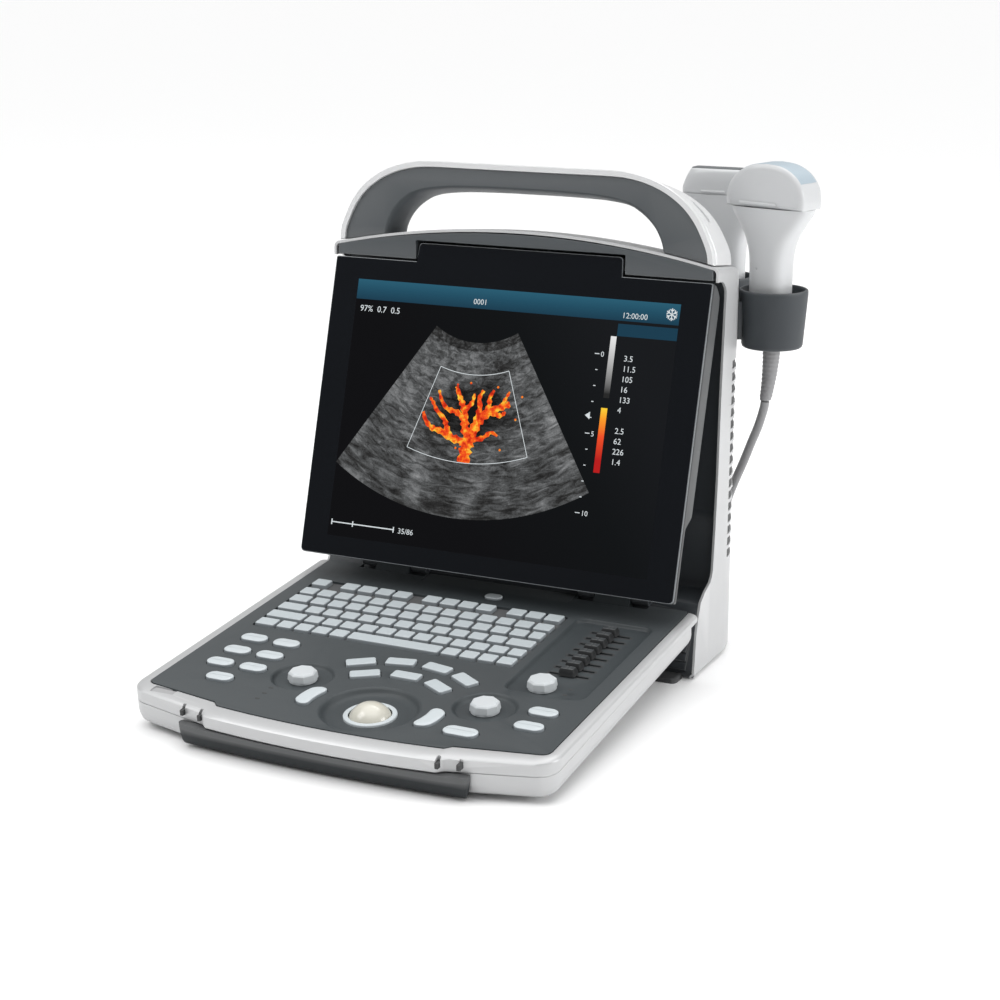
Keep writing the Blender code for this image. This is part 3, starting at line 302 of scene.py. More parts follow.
def loftPiece(name, rings, place=scannerFrame, hoop=False):
    # a circle shaped to the first ring, then extruded and shaped from ring to ring
    clearSelection()
    bpy.ops.mesh.primitive_circle_add(vertices=len(rings[0]))
    piece = bpy.context.object
    piece.name = name
    piece.data.name = name
    marks = piece.data.attributes.new("spot", "INT", "POINT")
    for i, vertex in enumerate(piece.data.vertices):
        vertex.co = rings[0][i]
        marks.data[i].value = i
    bpy.ops.object.mode_set(mode="EDIT")
    bpy.ops.mesh.select_all(action="SELECT")
    if not hoop:
        bpy.ops.mesh.edge_face_add()
    for ring in list(rings[1:]) + ([rings[0]] if hoop else []):
        bpy.ops.mesh.extrude_region_move()
        work = bmesh.from_edit_mesh(piece.data)
        spot = work.verts.layers.int["spot"]
        for vert in work.verts:
            if vert.select:
                vert.co = ring[vert[spot]]
        bmesh.update_edit_mesh(piece.data)
    bpy.ops.mesh.select_all(action="SELECT")
    if hoop:
        bpy.ops.mesh.remove_doubles(threshold=0.0005)
    bpy.ops.mesh.normals_make_consistent(inside=False)
    bpy.ops.object.mode_set(mode="OBJECT")
    piece.data.attributes.remove(piece.data.attributes["spot"])
    piece.data.transform(place @ Matrix.Scale(mm, 4))
    return piece


def applyStep(piece, kind, **values):
    makeActive(piece)
    step = piece.modifiers.new(kind.lower(), kind)
    for key, value in values.items():
        setattr(step, key, value)
    bpy.ops.object.modifier_apply(modifier=step.name)
    return piece


def bevel(piece, width, segments=2, angle=35):
    values = {
        "width": width * mm, "segments": segments, "limit_method": "ANGLE",
        "angle_limit": math.radians(angle)
    }
    return applyStep(piece, "BEVEL", miter_outer="MITER_ARC", **values)


def combine(piece, other, operation="DIFFERENCE"):
    applyStep(piece, "BOOLEAN", object=other, operation=operation, solver="EXACT")
    bpy.data.objects.remove(other)
    return piece


def cutAll(piece, cutters):
    for cutter in cutters:
        combine(piece, cutter)
    return piece


def joinPieces(name, pieces):
    clearSelection()
    for piece in pieces:
        piece.select_set(True)
    bpy.context.view_layer.objects.active = pieces[0]
    if len(pieces) > 1:
        bpy.ops.object.join()
    joined = bpy.context.view_layer.objects.active
    joined.name = name
    joined.data.name = name
    return joined


def finishPiece(piece, body, material, nodes=(), angle=32, weighted=True):
    makeActive(piece)
    if material:
        piece.data.materials.clear()
        piece.data.materials.append(material)
    bpy.ops.object.shade_smooth_by_angle(angle=math.radians(angle))
    if weighted:
        applyStep(piece, "WEIGHTED_NORMAL", keep_sharp=True, weight=60)
    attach(piece, body)
    if nodes:
        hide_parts(*nodes)
    return piece


def paintFacing(piece, frontMaterial, otherMaterial, towards, limit):
    # the first material where a face looks one way, and the second elsewhere; used for painted light: lit tops
    # against shaded sides, and a highlight on the glass chamfer
    towards = towards.normalized()
    piece.data.materials.clear()
    piece.data.materials.append(frontMaterial)
    piece.data.materials.append(otherMaterial)
    for face in piece.data.polygons:
        face.material_index = 0 if face.normal.dot(towards) > limit else 1


def level(outline, z):
    return [(x, y, z) for x, y in outline]


def upright(outline, y):
    return [(x, y, z) for x, z in outline]


def sideways(outline, x):
    return [(x, y, z) for y, z in outline]


def circle(x, y, radius, count=32):
    angles = [math.tau * i / count for i in range(count)]
    return [(x + radius * math.cos(a), y + radius * math.sin(a)) for a in angles]


def rounded(corners, steps=6):
    points = []
    for i, (x, y, radius) in enumerate(corners):
        corner = Vector((x, y))
        before = (Vector(corners[i - 1][:2]) - corner).normalized()
        after = (Vector(corners[(i + 1) % len(corners)][:2]) - corner).normalized()
        if radius == 0:
            points.append(tuple(corner))
            continue
        half = math.acos(max(-1, min(1, before.dot(after)))) / 2
        centre = corner + (before + after).normalized() * (radius / math.sin(half))
        first = corner + before * (radius / math.tan(half)) - centre
        last = corner + after * (radius / math.tan(half)) - centre
        sweep = math.atan2(first.x * last.y - first.y * last.x, first.dot(last))
        points += [tuple(centre + Matrix.Rotation(sweep * s / steps, 2) @ first) for s in range(steps + 1)]
    return points


def boxOutline(x, y, width, depth, radius=0.0, turn=0.0, steps=5):
    a, b = width / 2, depth / 2
    flat = rounded([(-a, -b, radius), (a, -b, radius), (a, b, radius), (-a, b, radius)], steps)
    c, s = math.cos(math.radians(turn)), math.sin(math.radians(turn))
    return [(x + c * px - s * py, y + s * px + c * py) for px, py in flat]


def inset(outline, distance):
    moved = []
    for i, point in enumerate(outline):
        here = Vector(point)
        before = (here - Vector(outline[i - 1])).normalized()
        after = (Vector(outline[(i + 1) % len(outline)]) - here).normalized()
        inwards = Vector((-before.y - after.y, before.x + after.x)).normalized()
        stretch = 1 / max(0.5, inwards.dot(Vector((-before.y, before.x))))
        moved.append(tuple(here + inwards * distance * stretch))
    return moved


def antiClockwise(outline):
    area = sum(a[0] * b[1] - b[0] * a[1] for a, b in zip(outline, outline[1:] + outline[:1]))
    return outline if area > 0 else outline[::-1]


def block(name, outline, low, high, place=scannerFrame, lay=level):
    return loftPiece(name, [lay(outline, low), lay(outline, high)], place)


def curveThrough(points, steps=4):
    # a smooth line through open points
    spots = [Vector(p) for p in points]
    ends = [2 * spots[0] - spots[1]] + spots + [2 * spots[-1] - spots[-2]]
    line = []
    for i in range(1, len(ends) - 2):
        a, b, c, d = ends[i - 1 : i + 3]
        for s in range(steps):
            t = s / steps
            spot = 2 * b + (c - a) * t + (2 * a - 5 * b + 4 * c - d) * t * t + (3 * b - a - 3 * c + d) * t**3
            line.append(tuple(0.5 * spot))
    return line + [tuple(spots[-1])]


# the probe's cable: one line from the strain relief down, round the coil and up to its connector

cable = {
    "radius": 3.1,
    "coil": (20.0, 211.0),
    "outer": 44.3,
    "inner": 24.3,
    "layers": (3.15, 9.4),
    "turns": 7,
    "climb": (3.2, 3.8),
    "fall": [
        (156.7, 140.35, 176.8), (155.6, 140.9, 171), (151.2, 144, 158), (144.7, 149, 144), (136.8, 156, 127),
        (128.1, 164, 110), (119.5, 171, 90), (113, 175, 68), (107.5, 176.5, 45), (100.5, 176, 24),
        (89, 173.6, 9.5), (74, 170.4, 3.6), (59, 167.8, 3.15), (44.6, 166.7, 3.15), (32, 166.7, 3.15),
    ],
    "rise": [
        (8, 166.7, 9.4), (-4.6, 166.7, 9.3), (-17, 167.6, 5.6), (-29, 169.9, 6.4), (-38.5, 173, 13.5),
        (-44.3, 175.3, 25.5), (-45.9, 175.95, 38), (-46, 176, 45.7),
    ],
}


def coilPoints():
    start, end = cable["climb"]
    points = []
    for i in range(cable["turns"] * 28 + 1):
        t = i / 28
        gap = (cable["outer"] - cable["inner"]) / start
        lift = min(1, max(0, (t - start) / (end - start)))
        if t < start:
            radius = cable["outer"] - gap * t
        elif t > end:
            radius = cable["inner"] + gap * (t - end)
        else:
            radius = cable["inner"] - 1.6 * math.sin(math.pi * lift)
        low, high = cable["layers"]
        z = low + (high - low) * lift * lift * (3 - 2 * lift)
        angle = -math.pi / 2 - math.tau * t
        x, y = cable["coil"]
        points.append((x + radius * math.cos(angle), y + radius * math.sin(angle), z))
    return points


def makeCable():
    points = curveThrough(cable["fall"], 3) + coilPoints() + curveThrough(cable["rise"], 3)
    clearSelection()
    line = bpy.data.curves.new("cableLine", "CURVE")
    line.dimensions = "3D"
    line.bevel_depth = cable["radius"] * mm
    line.bevel_resolution = 4
    line.use_fill_caps = True
    spline = line.splines.new("POLY")
    spline.points.add(len(points) - 1)
    path = [scannerFrame @ (Vector(p) * mm) for p in points]
    for spot, point in zip(spline.points, path):
        spot.co = (*point, 1)
    piece = bpy.data.objects.new("probeCable", line)
    bpy.context.scene.collection.objects.link(piece)
    makeActive(piece)
    bpy.ops.object.convert(target="MESH")
    piece = bpy.context.object
    piece.name = "probeCable"
    piece.data.materials.clear()
    piece.data.materials.append(cableGrey)
    bpy.ops.object.shade_smooth_by_angle(angle=math.radians(40))
    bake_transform(piece)
    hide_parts("cable_fall", "cable_coil", "cable_rise")


# housing

housing = {"half": 146.5, "corner": 65.0, "cornerY": 95.0, "shoulder": 281.2, "crown": 15.5, "round": 4.5}
sideEdge = [
    (37.6, -10), (37.6, 0), (39.2, 16), (41, 32), (43.6, 43), (48, 53.5), (56, 58.8), (66, 63), (69, 66.3),
    (70.6, 71), (73.3, 100), (75.6, 133), (77.5, 191), (80, 230), (82, 258), (81.9, 262.5), (80.5, 265.5),
    (77.6, 268.3), (74, 270.3), (69, 270.9), (65, 271), (65, 350),
]


def housingRing(y, skin=0.0, topSkin=0.0):
    past = max(0.0, y + skin - housing["cornerY"]) / housing["corner"]
    flat = housing["half"] - housing["corner"]
    half = flat + housing["corner"] * math.sqrt(max(0.0, 1 - past * past)) - skin
    top = housing["shoulder"] - 0.12 * max(0.0, y - 65) - 48 * past**3.2 - topSkin
    crown = housing["crown"] * (1 - 0.5 * min(1, past)) * half / housing["half"]
    low = skin + 5 * past**3
    soft = housing["round"] - skin * 0.8
    side = [(half, low + soft)]
    side += [
        (half - soft + soft * math.cos(a), top - soft + soft * math.sin(a))
        for a in (0, 0.4, 0.8, 1.2, math.pi / 2)
    ]
    roof = []
    for i in range(1, 24):
        x = (half - soft) * (1 - i / 12)
        roof.append((x, top + crown * (1 - (x / (half - soft)) ** 2)))
    left = [(-x, z) for x, z in side[::-1]]
    return [(-half + soft, low), (half - soft, low)] + side + roof + left


def housingShell(name, skin, topSkin, start, end):
    depths = [start, 65, 80, 95]
    depths += [95 + (end - 95) * math.sin(math.radians(a)) for a in (8, 16, 25, 34, 43, 52, 61, 70, 79, 90)]
    return loftPiece(name, [upright(housingRing(y, skin, topSkin), y) for y in depths])


def ventCutters():
    cutters = []
    for side in (-1, 1):
        turns = [math.radians(a) for a in (12, 24, 36, 48, 60, 72, 84, 86.5)]
        reach = (70, 70, 70, 70, 70, 70, 70, 69)
        outline = [(side * (81.5 + r * math.sin(a)), 95 + r * math.cos(a)) for r, a in zip(reach, turns)]
        outline += [(side * (81.5 + 55 * math.sin(a)), 95 + 55 * math.cos(a)) for a in turns[::-1]]
        outline = antiClockwise(outline)
        cutters += [block("vent", outline, 72 + 8.4 * i, 77.9 + 8.4 * i) for i in range(17)]
    return joinPieces("vents", cutters)


def makeHousing():
    piece = housingShell("rearHousing", 0, 0, 30, 160)
    front = sideEdge + [(10, 350), (10, -10)]
    cutters = [
        housingShell("hollow", 1.7, 1.8, 20, 156.99),
        block("frontCut", front, -200, 200, lay=sideways),
        block("floorCut", [(-143.45, 0), (143.45, 0), (143.45, 46), (-143.45, 46)], -5, 10),
        ventCutters(),
        block("socketHole", boxOutline(-46, 80, 66, 48, 3), 152, 165, lay=upright),
        block("labelRecess", boxOutline(52, 62, 70, 40, 2.5), 159.4, 165, lay=upright),
    ]
    cutAll(piece, cutters)
    bevel(piece, 0.7, 2, 40)
    finishPiece(piece, "scanner", silverPaint, ["rear_housing"])
    # a black sheet just inside the vent slots: painted shade that darkens the openings
    ventShade = []
    for side in (-1, 1):
        arc = [(side * (81.5 + r * math.sin(a)), 95 + r * math.cos(a)) for r, angles in (
            (64.1, range(8, 89, 3)), (62.6, range(88, 7, -3))) for a in map(math.radians, angles)]
        ventShade.append(block("ventShadowSheet", antiClockwise(arc), 70.5, 215))
    finishPiece(joinPieces("ventShadowSheet", ventShade), "scanner", blackPlastic)
    screws = []
    for x, z in ((-118, 40), (118, 40), (-70, 212), (70, 212), (0, 30)):
        y = 160 if abs(x) < 82 else 95 + 65 * math.sqrt(1 - ((abs(x) - 81.5) / 65) ** 2)
        rings = [
            upright(circle(x, z, r, 20), y + d)
            for r, d in ((3.0, -0.6), (3.0, 0.5), (2.6, 0.9), (1.5, 0.9), (1.4, 0.1))
        ]
        screws.append(loftPiece("screw", rings))
    finishPiece(joinPieces("rearScrews", screws), "scanner", steelBright)
    print("housing done")


def wallStrip(points, thickness):
    behind = []
    for i, point in enumerate(points):
        here = Vector(point)
        before = (here - Vector(points[max(0, i - 1)])).normalized()
        after = (Vector(points[min(len(points) - 1, i + 1)]) - here).normalized()
        along = (before + after).normalized()
        behind.append(tuple(here + Vector((along.y, -along.x)) * thickness))
    return points + behind[::-1]


frontFace = [
    (41.5, 1), (41.5, 38), (42, 43), (44, 46.8), (46.3, 49.8), (48.5, 51.8), (50.2, 52.5), (54, 52.6),
    (78, 52.6),
    (80.4, 53.4), (81.5, 57), (81.5, 100), (82.6, 103.5), (84.4, 106.5), (86, 109), (86, 258), (84.5, 268.5),
]


def knuckle(y, z, low, high, sweep, foot, place=scannerFrame):
    arc = [math.radians(sweep[0] + (sweep[1] - sweep[0]) * i / 16) for i in range(17)]
    outline = [(y + 4 * math.cos(a), z + 4 * math.sin(a)) for a in arc] + foot
    return block("knuckle", outline, low, high, place, sideways)


def makeFrontFrame():
    piece = block("frontFrame", wallStrip(frontFace, 3.0), -144.4, 144.4, lay=sideways)
    for side in (-1, 1):
        for low in (60, 100):
            ends = sorted((side * low, side * (low + 12)))
            combine(piece, knuckle(41, 52.5, *ends, (80, 280), [(52, 49), (52, 52.6)]), "UNION")
    slots = [
        block("slot", boxOutline(0, z + 0.7, 278, 1.5, 0.7), 40, 42.6, lay=upright)
        for z in (4.7, 11.2, 17.8)
    ]
    combine(piece, joinPieces("slots", slots))
    bevel(piece, 0.5, 2, 40)
    finishPiece(piece, "scanner", darkPlastic, ["front_housing"])
    outline = rounded([(-137, 27, 4), (137, 27, 4), (137, 40.9, 1), (-137, 40.9, 1)])
    bar = loftPiece(
        "footBar",
        [
            level(outline, 0), level(outline, 3.0), level(inset(outline, 0.5), 3.7),
            level(inset(outline, 1.2), 4)
        ]
    )
    finishPiece(bar, "scanner", softRubber, ["front_foot_bar"])
    print("front frame done")


def browRing(y, drop):
    half, under, notch, notchTop = 142.8, 271.9, 79.8, 285.2
    low = [
        (-half, under), (-notch, under), (-notch, notchTop), (notch, notchTop), (notch, under),
        (half, under)
    ]
    ring = upright(low, y)
    for i in range(25):
        x = half * (1 - i / 12)
        ring.append((x, y, 281.2 + 15.5 * (1 - (x / 146.5) ** 2) - 2.75 - drop))
    return ring


def makeBrow():
    piece = loftPiece("browCover", [browRing(64.6, 0), browRing(79.5, 1.8)])
    bevel(piece, 0.7, 3, 40)
    finishPiece(piece, "scanner", hoodPlastic, ["brow_cover"])
    print("brow done")


# handle

handleOuter = curveThrough([
    (142.3, 283.4), (141.2, 291), (137.7, 300), (131.5, 311.5), (122.9, 321.7), (111.5, 330.2), (98.4, 336.3),
    (84, 340), (68.6, 341.4), (34, 341.4), (0, 341.4)], 4)
handleInner = curveThrough([
    (107.3, 289.4), (105, 298), (100.4, 306.5), (94, 313.5), (86, 319), (76, 322.4), (64, 324.4), (50, 325.6),
    (30, 326.2), (15, 326.4), (0, 326.4)], 4)


def arch(outer, inner):
    left = [(-x, z) for x, z in outer]
    return outer + left[-2::-1] + [(-x, z) for x, z in inner] + inner[-2::-1]


def settled(points, y):
    foot = 0.12 * (y - 65)
    crest = 0.254 * (y - 66)
    return [(x, z - foot - (crest - foot) * min(1, max(0, z - 283) / 58)) for x, z in points]


def sunk(points):
    # the feet run a little into the housing, so that only a seam shows
    return [(points[0][0], points[0][1] - 1.4)] + points[1:]


def thinned(points, distance):
    moved = []
    for i, point in enumerate(points):
        along = (Vector(points[min(len(points) - 1, i + 1)]) - Vector(points[max(0, i - 1)])).normalized()
        moved.append(tuple(Vector(point) + Vector((-along.y, along.x)) * distance))
    moved[0] = (points[0][0] - distance, points[0][1] + 0.9 * min(1, distance))
    moved[-1] = (0, points[-1][1] - distance)
    return moved


def makeHandle():
    inner = sunk(thinned(handleOuter, 4.1))
    rings = []
    shape = ((66.0, 1.1), (66.25, 0.45), (67.0, 0), (71.6, 0), (72.2, 0.7), (73.0, 0.7), (73.8, 0.1), (84, 0),
             (101.5, 0), (102.6, 0.5), (103.0, 1.2))
    for y, shave in shape:
        outer = sunk(thinned(handleOuter, shave) if shave else handleOuter)
        rings.append(upright(settled(arch(outer, inner), y), y))
    band = loftPiece("handleBand", rings)
    for side in (-1, 1):
        place = scannerFrame @ Matrix.Translation((side * 122.6 * mm, 86 * mm, 317.0 * mm))
        place = place @ Matrix.Rotation(math.radians(side * 48), 4, "Y")
        combine(band, block("strapSlot", boxOutline(0, 0, 27, 5.4, 2.6), -1.2, 8, place))
    bevel(band, 0.35, 2, 40)
    # the band gets the lighter silver copy, a painted highlight
    finishPiece(band, "scanner", litBandPaint, ["handle_band"])
    outer = thinned(handleOuter, 4.4)
    rings = []
    for y, grow in (
        (68.0, 0), (68.4, 0.6), (70, 1.4), (74, 2.2), (84.0, 2.7), (94, 2.2), (98.4, 1.4), (99.6, 0.6),
        (100.0, 0)
    ):
        grown = [(x - grow * 1.2 * min(1, max(0, (324 - z) / 6)), z - grow) for x, z in handleInner]
        grown[0] = (handleInner[0][0] - grow * 1.2, handleInner[0][1] + 0.5)
        rings.append(upright(settled(arch(sunk(outer), sunk(grown)), y), y))
    grip = loftPiece("handleGrip", rings)
    finishPiece(grip, "scanner", hoodPlastic, ["handle_grip"])
    print("handle done")


# monitor


def monitorOutline(shrink=0.0):
    half, top, tab = 143.4 - shrink, -6.8 - shrink, 6.5 - shrink
    return rounded([
        (-half, -220.9 + shrink, 3), (half, -220.9 + shrink, 3), (half, top, 1.2), (78.3, top, 0),
        (77.6 - shrink, tab, 2.6), (-77.6 + shrink, tab, 2.6), (-78.3, top, 0), (-half, top, 1.2)], 6)


def makeMonitor():
    rings = [(0.5, -6.0), (0.12, -5.85), (0, -5.5), (0, -4.2)]
    glass = loftPiece("monitorGlass", [upright(monitorOutline(s), y) for s, y in rings], monitorFrame)
    # faces not looking straight out get the lighter grey: a painted highlight on the glass chamfer
    paintFacing(glass, blackGlass, glassEdgeHighlight, monitorFrame.to_3x3() @ Vector((0, -1, 0)), 0.97)
    finishPiece(glass, "monitor", None, ["monitor_glass"])
    face = -3.9
    side = [
        (face, -220.6), (0.5, -220.6), (1.5, -220.2), (2, -219), (2, -172), (2.6, -170), (9.9, -164),
        (11.5, -162.4), (11.9, -160), (13.6, -20), (12.4, -14), (8.8, -10.2), (4, -7.6), (face, -6.8),
    ]
    rings = []
    for x, trim in ((-143.2, 1.6), (-142.6, 0.6), (-141, 0), (141, 0), (142.6, 0.6), (143.2, 1.6)):
        rings.append(sideways([(y - trim if y > face + 2 else y, z) for y, z in side], x))
    back = loftPiece("monitorBack", rings, monitorFrame)
    tab = [(face, -14), (6, -14), (6.5, -4), (6.3, 3), (5.2, 5.6), (3, 6.5), (face, 6.5)]
    combine(back, block("tab", tab, -75.2, 75.2, monitorFrame, sideways), "UNION")
    combine(back, block("backLabel", boxOutline(0, -90, 120, 60, 4), 12.0, 16, monitorFrame, upright))
    bevel(back, 0.5, 2, 40)
    finishPiece(back, "monitor", greyPlastic, ["monitor_back", "lcd_module"])
    rings = [upright(monitorOutline(s), y) for s, y in ((0.9, -4.3), (-0.2, -4.25), (-0.2, -2.2), (0.9, -2.1))]
    gasket = loftPiece("monitorGasket", rings, monitorFrame)
    finishPiece(gasket, "monitor", blackPlastic)
    screws = []
    for z, depth in ((-30, 13.48), (-150, 12.02)):
        head = [
            (3, depth - 0.6), (3, depth - 0.05), (2.6, depth + 0.15), (1.4, depth + 0.15),
            (1.3, depth - 0.5)
        ]
        for x in (-128, 128):
            rings = [upright(circle(x, z, r, 20), y) for r, y in head]
            screws.append(loftPiece("monitorScrew", rings, monitorFrame))
    finishPiece(joinPieces("monitorScrews", screws), "monitor", steelBright)
    print("monitor done")


# the picture on the screen: x to the right and z up from the middle of the lit area, in millimetres

screen = {
    "half": (123.0, 92.25),
    "middle": -114.5,
    "front": -6.03,
    "step": 0.03,
    "fanTip": (-24.6, 112.1),
    "fanRadii": (57.9, 181.0),
    "fanAngles": (-33.0, 33.0),
    "boxRadii": (80.3, 142.0),
    "boxAngles": (-17.7, 20.6),
}


def screenSheet(name, outline, layer, material):
    clearSelection()
    bpy.ops.mesh.primitive_circle_add(vertices=len(outline), fill_type="NGON")
    piece = bpy.context.object
    piece.name = name
    for vertex, (x, z) in zip(piece.data.vertices, outline):
        vertex.co = (x, screen["front"] - screen["step"] * layer, screen["middle"] + z)
    piece.data.transform(monitorFrame @ Matrix.Scale(mm, 4))
    bpy.ops.object.mode_set(mode="EDIT")
    bpy.ops.mesh.select_all(action="SELECT")
    work = bmesh.from_edit_mesh(piece.data)
    work.normal_update()
    if sum((face.normal.y for face in work.faces), 0.0) > 0:
        bpy.ops.mesh.flip_normals()
    bpy.ops.object.mode_set(mode="OBJECT")
    piece.data.materials.clear()
    piece.data.materials.append(material)
    return piece


def bar(x, z, wide, high):
    return [(x, z), (x + wide, z), (x + wide, z + high), (x, z + high)]


def fanPoint(angle, radius):
    tipX, tipZ = screen["fanTip"]
    a = math.radians(angle)
    return tipX + radius * math.sin(a), tipZ - radius * math.cos(a)


def fanOutline(radii, angles, count=24):
    spread = [angles[0] + (angles[1] - angles[0]) * i / count for i in range(count + 1)]
    return [fanPoint(a, radii[0]) for a in spread] + [fanPoint(a, radii[1]) for a in spread[::-1]]


def strokeOutline(points, width):
    # a thin line of even width along points
    left, right = [], []
    for i, point in enumerate(points):
        along = (Vector(points[min(len(points) - 1, i + 1)]) - Vector(points[max(0, i - 1)])).normalized()
        side = Vector((-along.y, along.x)) * width / 2
        left.append(tuple(Vector(point) + side))
        right.append(tuple(Vector(point) - side))
    return left + right[::-1]


def screenCoordinates(tree):
    # object coordinates turned into millimetres across the lit area
    place = addNode(tree, "ShaderNodeTexCoord")
    turn = addNode(tree, "ShaderNodeMapping")
    turn.vector_type = "POINT"
    back = monitorFrame @ Matrix.Translation((0, 0, screen["middle"] * mm))
    back = back.inverted()
    turn.inputs["Location"].default_value = back.translation * 1000
    turn.inputs["Rotation"].default_value = back.to_euler("XYZ")
    turn.inputs["Scale"].default_value = (1000, 1000, 1000)
    tree.links.new(place.outputs["Object"], turn.inputs["Vector"])
    return turn.outputs["Vector"]


def ramp(tree, value, stops):
    node = tree.nodes.new("ShaderNodeValToRGB")
    bar = node.color_ramp
    while len(bar.elements) < len(stops):
        bar.elements.new(0.5)
    for element, (spot, colour) in zip(bar.elements, stops):
        element.position = spot
        element.color = (*colour, 1)
    tree.links.new(value, node.inputs["Fac"])
    return node.outputs["Color"]


def litMaterial(name, paintColour):
    # a glossy lit surface whose picture colour comes from paintColour(tree, x, z)
    made = bpy.data.materials.new(name)
    made.use_nodes = True
    tree = made.node_tree
    shader = tree.nodes["Principled BSDF"]
    split = addNode(tree, "ShaderNodeSeparateXYZ")
    spot = screenCoordinates(tree)
    tree.links.new(spot, split.inputs[0])
    colour = paintColour(tree, split.outputs["X"], split.outputs["Z"], spot)
    tree.links.new(colour, shader.inputs["Emission Color"])
    dimmed = blendColours(tree, 1.0, colour, (0.06, 0.06, 0.06), "MULTIPLY")
    tree.links.new(dimmed, shader.inputs["Base Color"])
    shader.inputs["Emission Strength"].default_value = 0.9
    shader.inputs["Roughness"].default_value = 0.1
    shader.inputs["Specular IOR Level"].default_value = 0.15
    return made


def tissuePaint(tree, x, z, spot):
    # grey speckle in bands round the fan's tip
    dx = mathStep(tree, "SUBTRACT", x, screen["fanTip"][0])
    dz = mathStep(tree, "SUBTRACT", z, screen["fanTip"][1])
    depth = mathStep(
        tree, "SQRT",
        mathStep(tree, "ADD", mathStep(tree, "POWER", dx, 2.0), mathStep(tree, "POWER", dz, 2.0)), 0.0
    )
    angle = mathStep(tree, "ARCTAN2", dx, mathStep(tree, "MULTIPLY", dz, -1.0))
    polar = addNode(tree, "ShaderNodeCombineXYZ")
    tree.links.new(mathStep(tree, "MULTIPLY", angle, 7.0), polar.inputs[0])
    tree.links.new(mathStep(tree, "MULTIPLY", depth, 0.16), polar.inputs[1])
    layers = addNode(tree, "ShaderNodeTexNoise", Scale=1.6, Detail=6.0, Roughness=0.62, Distortion=0.9)
    tree.links.new(polar.outputs[0], layers.inputs["Vector"])
    patches = addNode(tree, "ShaderNodeTexNoise", Scale=0.035, Detail=3.0, Distortion=0.5)
    tree.links.new(spot, patches.inputs["Vector"])
    specks = addNode(tree, "ShaderNodeTexNoise", Scale=1.1, Detail=4.0, Roughness=0.7)
    tree.links.new(spot, specks.inputs["Vector"])
    skin = mathStep(tree, "LESS_THAN", depth, 64.0)
    total = mathStep(tree, "MULTIPLY", layers.outputs["Fac"], 0.62)
    total = mathStep(tree, "ADD", total, mathStep(tree, "MULTIPLY", patches.outputs["Fac"], 0.42))
    total = mathStep(tree, "ADD", total, mathStep(tree, "MULTIPLY", specks.outputs["Fac"], 0.22))
    total = mathStep(tree, "SUBTRACT", total, mathStep(tree, "MULTIPLY", skin, 0.1))
    hx = mathStep(tree, "POWER", mathStep(tree, "DIVIDE", mathStep(tree, "ADD", x, 18.0), 34.0), 2.0)
    hz = mathStep(tree, "POWER", mathStep(tree, "DIVIDE", mathStep(tree, "SUBTRACT", z, 3.0), 26.0), 2.0)
    organ = mathStep(tree, "SUBTRACT", 1.0, mathStep(tree, "ADD", hx, hz), clamp=True)
    total = mathStep(tree, "SUBTRACT", total, mathStep(tree, "MULTIPLY", organ, 0.2))
    greys = [
        (0.42, (0.004,) * 3), (0.54, (0.028,) * 3), (0.64, (0.085, 0.088, 0.09)),
        (0.76, (0.21, 0.215, 0.22)), (0.92, (0.5,) * 3)
    ]
    return ramp(tree, total, greys)


def vesselPaint(tree, x, z, spot):
    flow = addNode(tree, "ShaderNodeTexNoise", Scale=0.22, Detail=3.0, Roughness=0.6)
    tree.links.new(spot, flow.inputs["Vector"])
    hot = [
        (0.36, (0.55, 0.02, 0.004)), (0.46, (0.9, 0.07, 0.01)), (0.54, (1.0, 0.2, 0.012)),
        (0.66, (1.0, 0.62, 0.05))
    ]
    return ramp(tree, flow.outputs["Fac"], hot)


def backdropPaint(tree, x, z, spot):
    across = mathStep(tree, "DIVIDE", mathStep(tree, "ADD", x, 123.0), 246.0)
    cast = mathStep(tree, "ADD", across, mathStep(tree, "MULTIPLY", mathStep(tree, "DIVIDE", z, 184.0), 0.5))
    return ramp(
        tree, cast,
        [(0.25, (0.001, 0.001, 0.002)), (0.7, (0.002, 0.003, 0.004)), (1.0, (0.006, 0.007, 0.009))]
    )


def titlePaint(tree, x, z, spot):
    up = mathStep(tree, "DIVIDE", mathStep(tree, "SUBTRACT", z, 78.0), 16.0)
    return ramp(
        tree, up, [(0.0, (0.008, 0.045, 0.08)), (0.45, (0.013, 0.075, 0.125)), (0.95, (0.022, 0.115, 0.18))]
    )


def greyScalePaint(tree, x, z, spot):
    up = mathStep(tree, "DIVIDE", mathStep(tree, "SUBTRACT", z, 28.0), 42.0)
    return ramp(tree, up, [(0.0, (0.02,) * 3), (1.0, (0.9,) * 3)])


def flowScalePaint(tree, x, z, spot):
    up = mathStep(tree, "DIVIDE", mathStep(tree, "ADD", z, 17.0), 40.0)
    return ramp(
        tree, up,
        [
            (0.0, (0.5, 0.01, 0.01)), (0.4, (0.9, 0.08, 0.02)), (0.7, (1.0, 0.35, 0.02)),
            (1.0, (1.0, 0.85, 0.05))
        ]
    )


def whitePaint(tree, x, z, spot):
    glow = addNode(tree, "ShaderNodeTexNoise", Scale=0.5)
    tree.links.new(spot, glow.inputs["Vector"])
    return ramp(tree, glow.outputs["Fac"], [(0.3, (0.62, 0.68, 0.7)), (0.7, (0.8, 0.84, 0.86))])


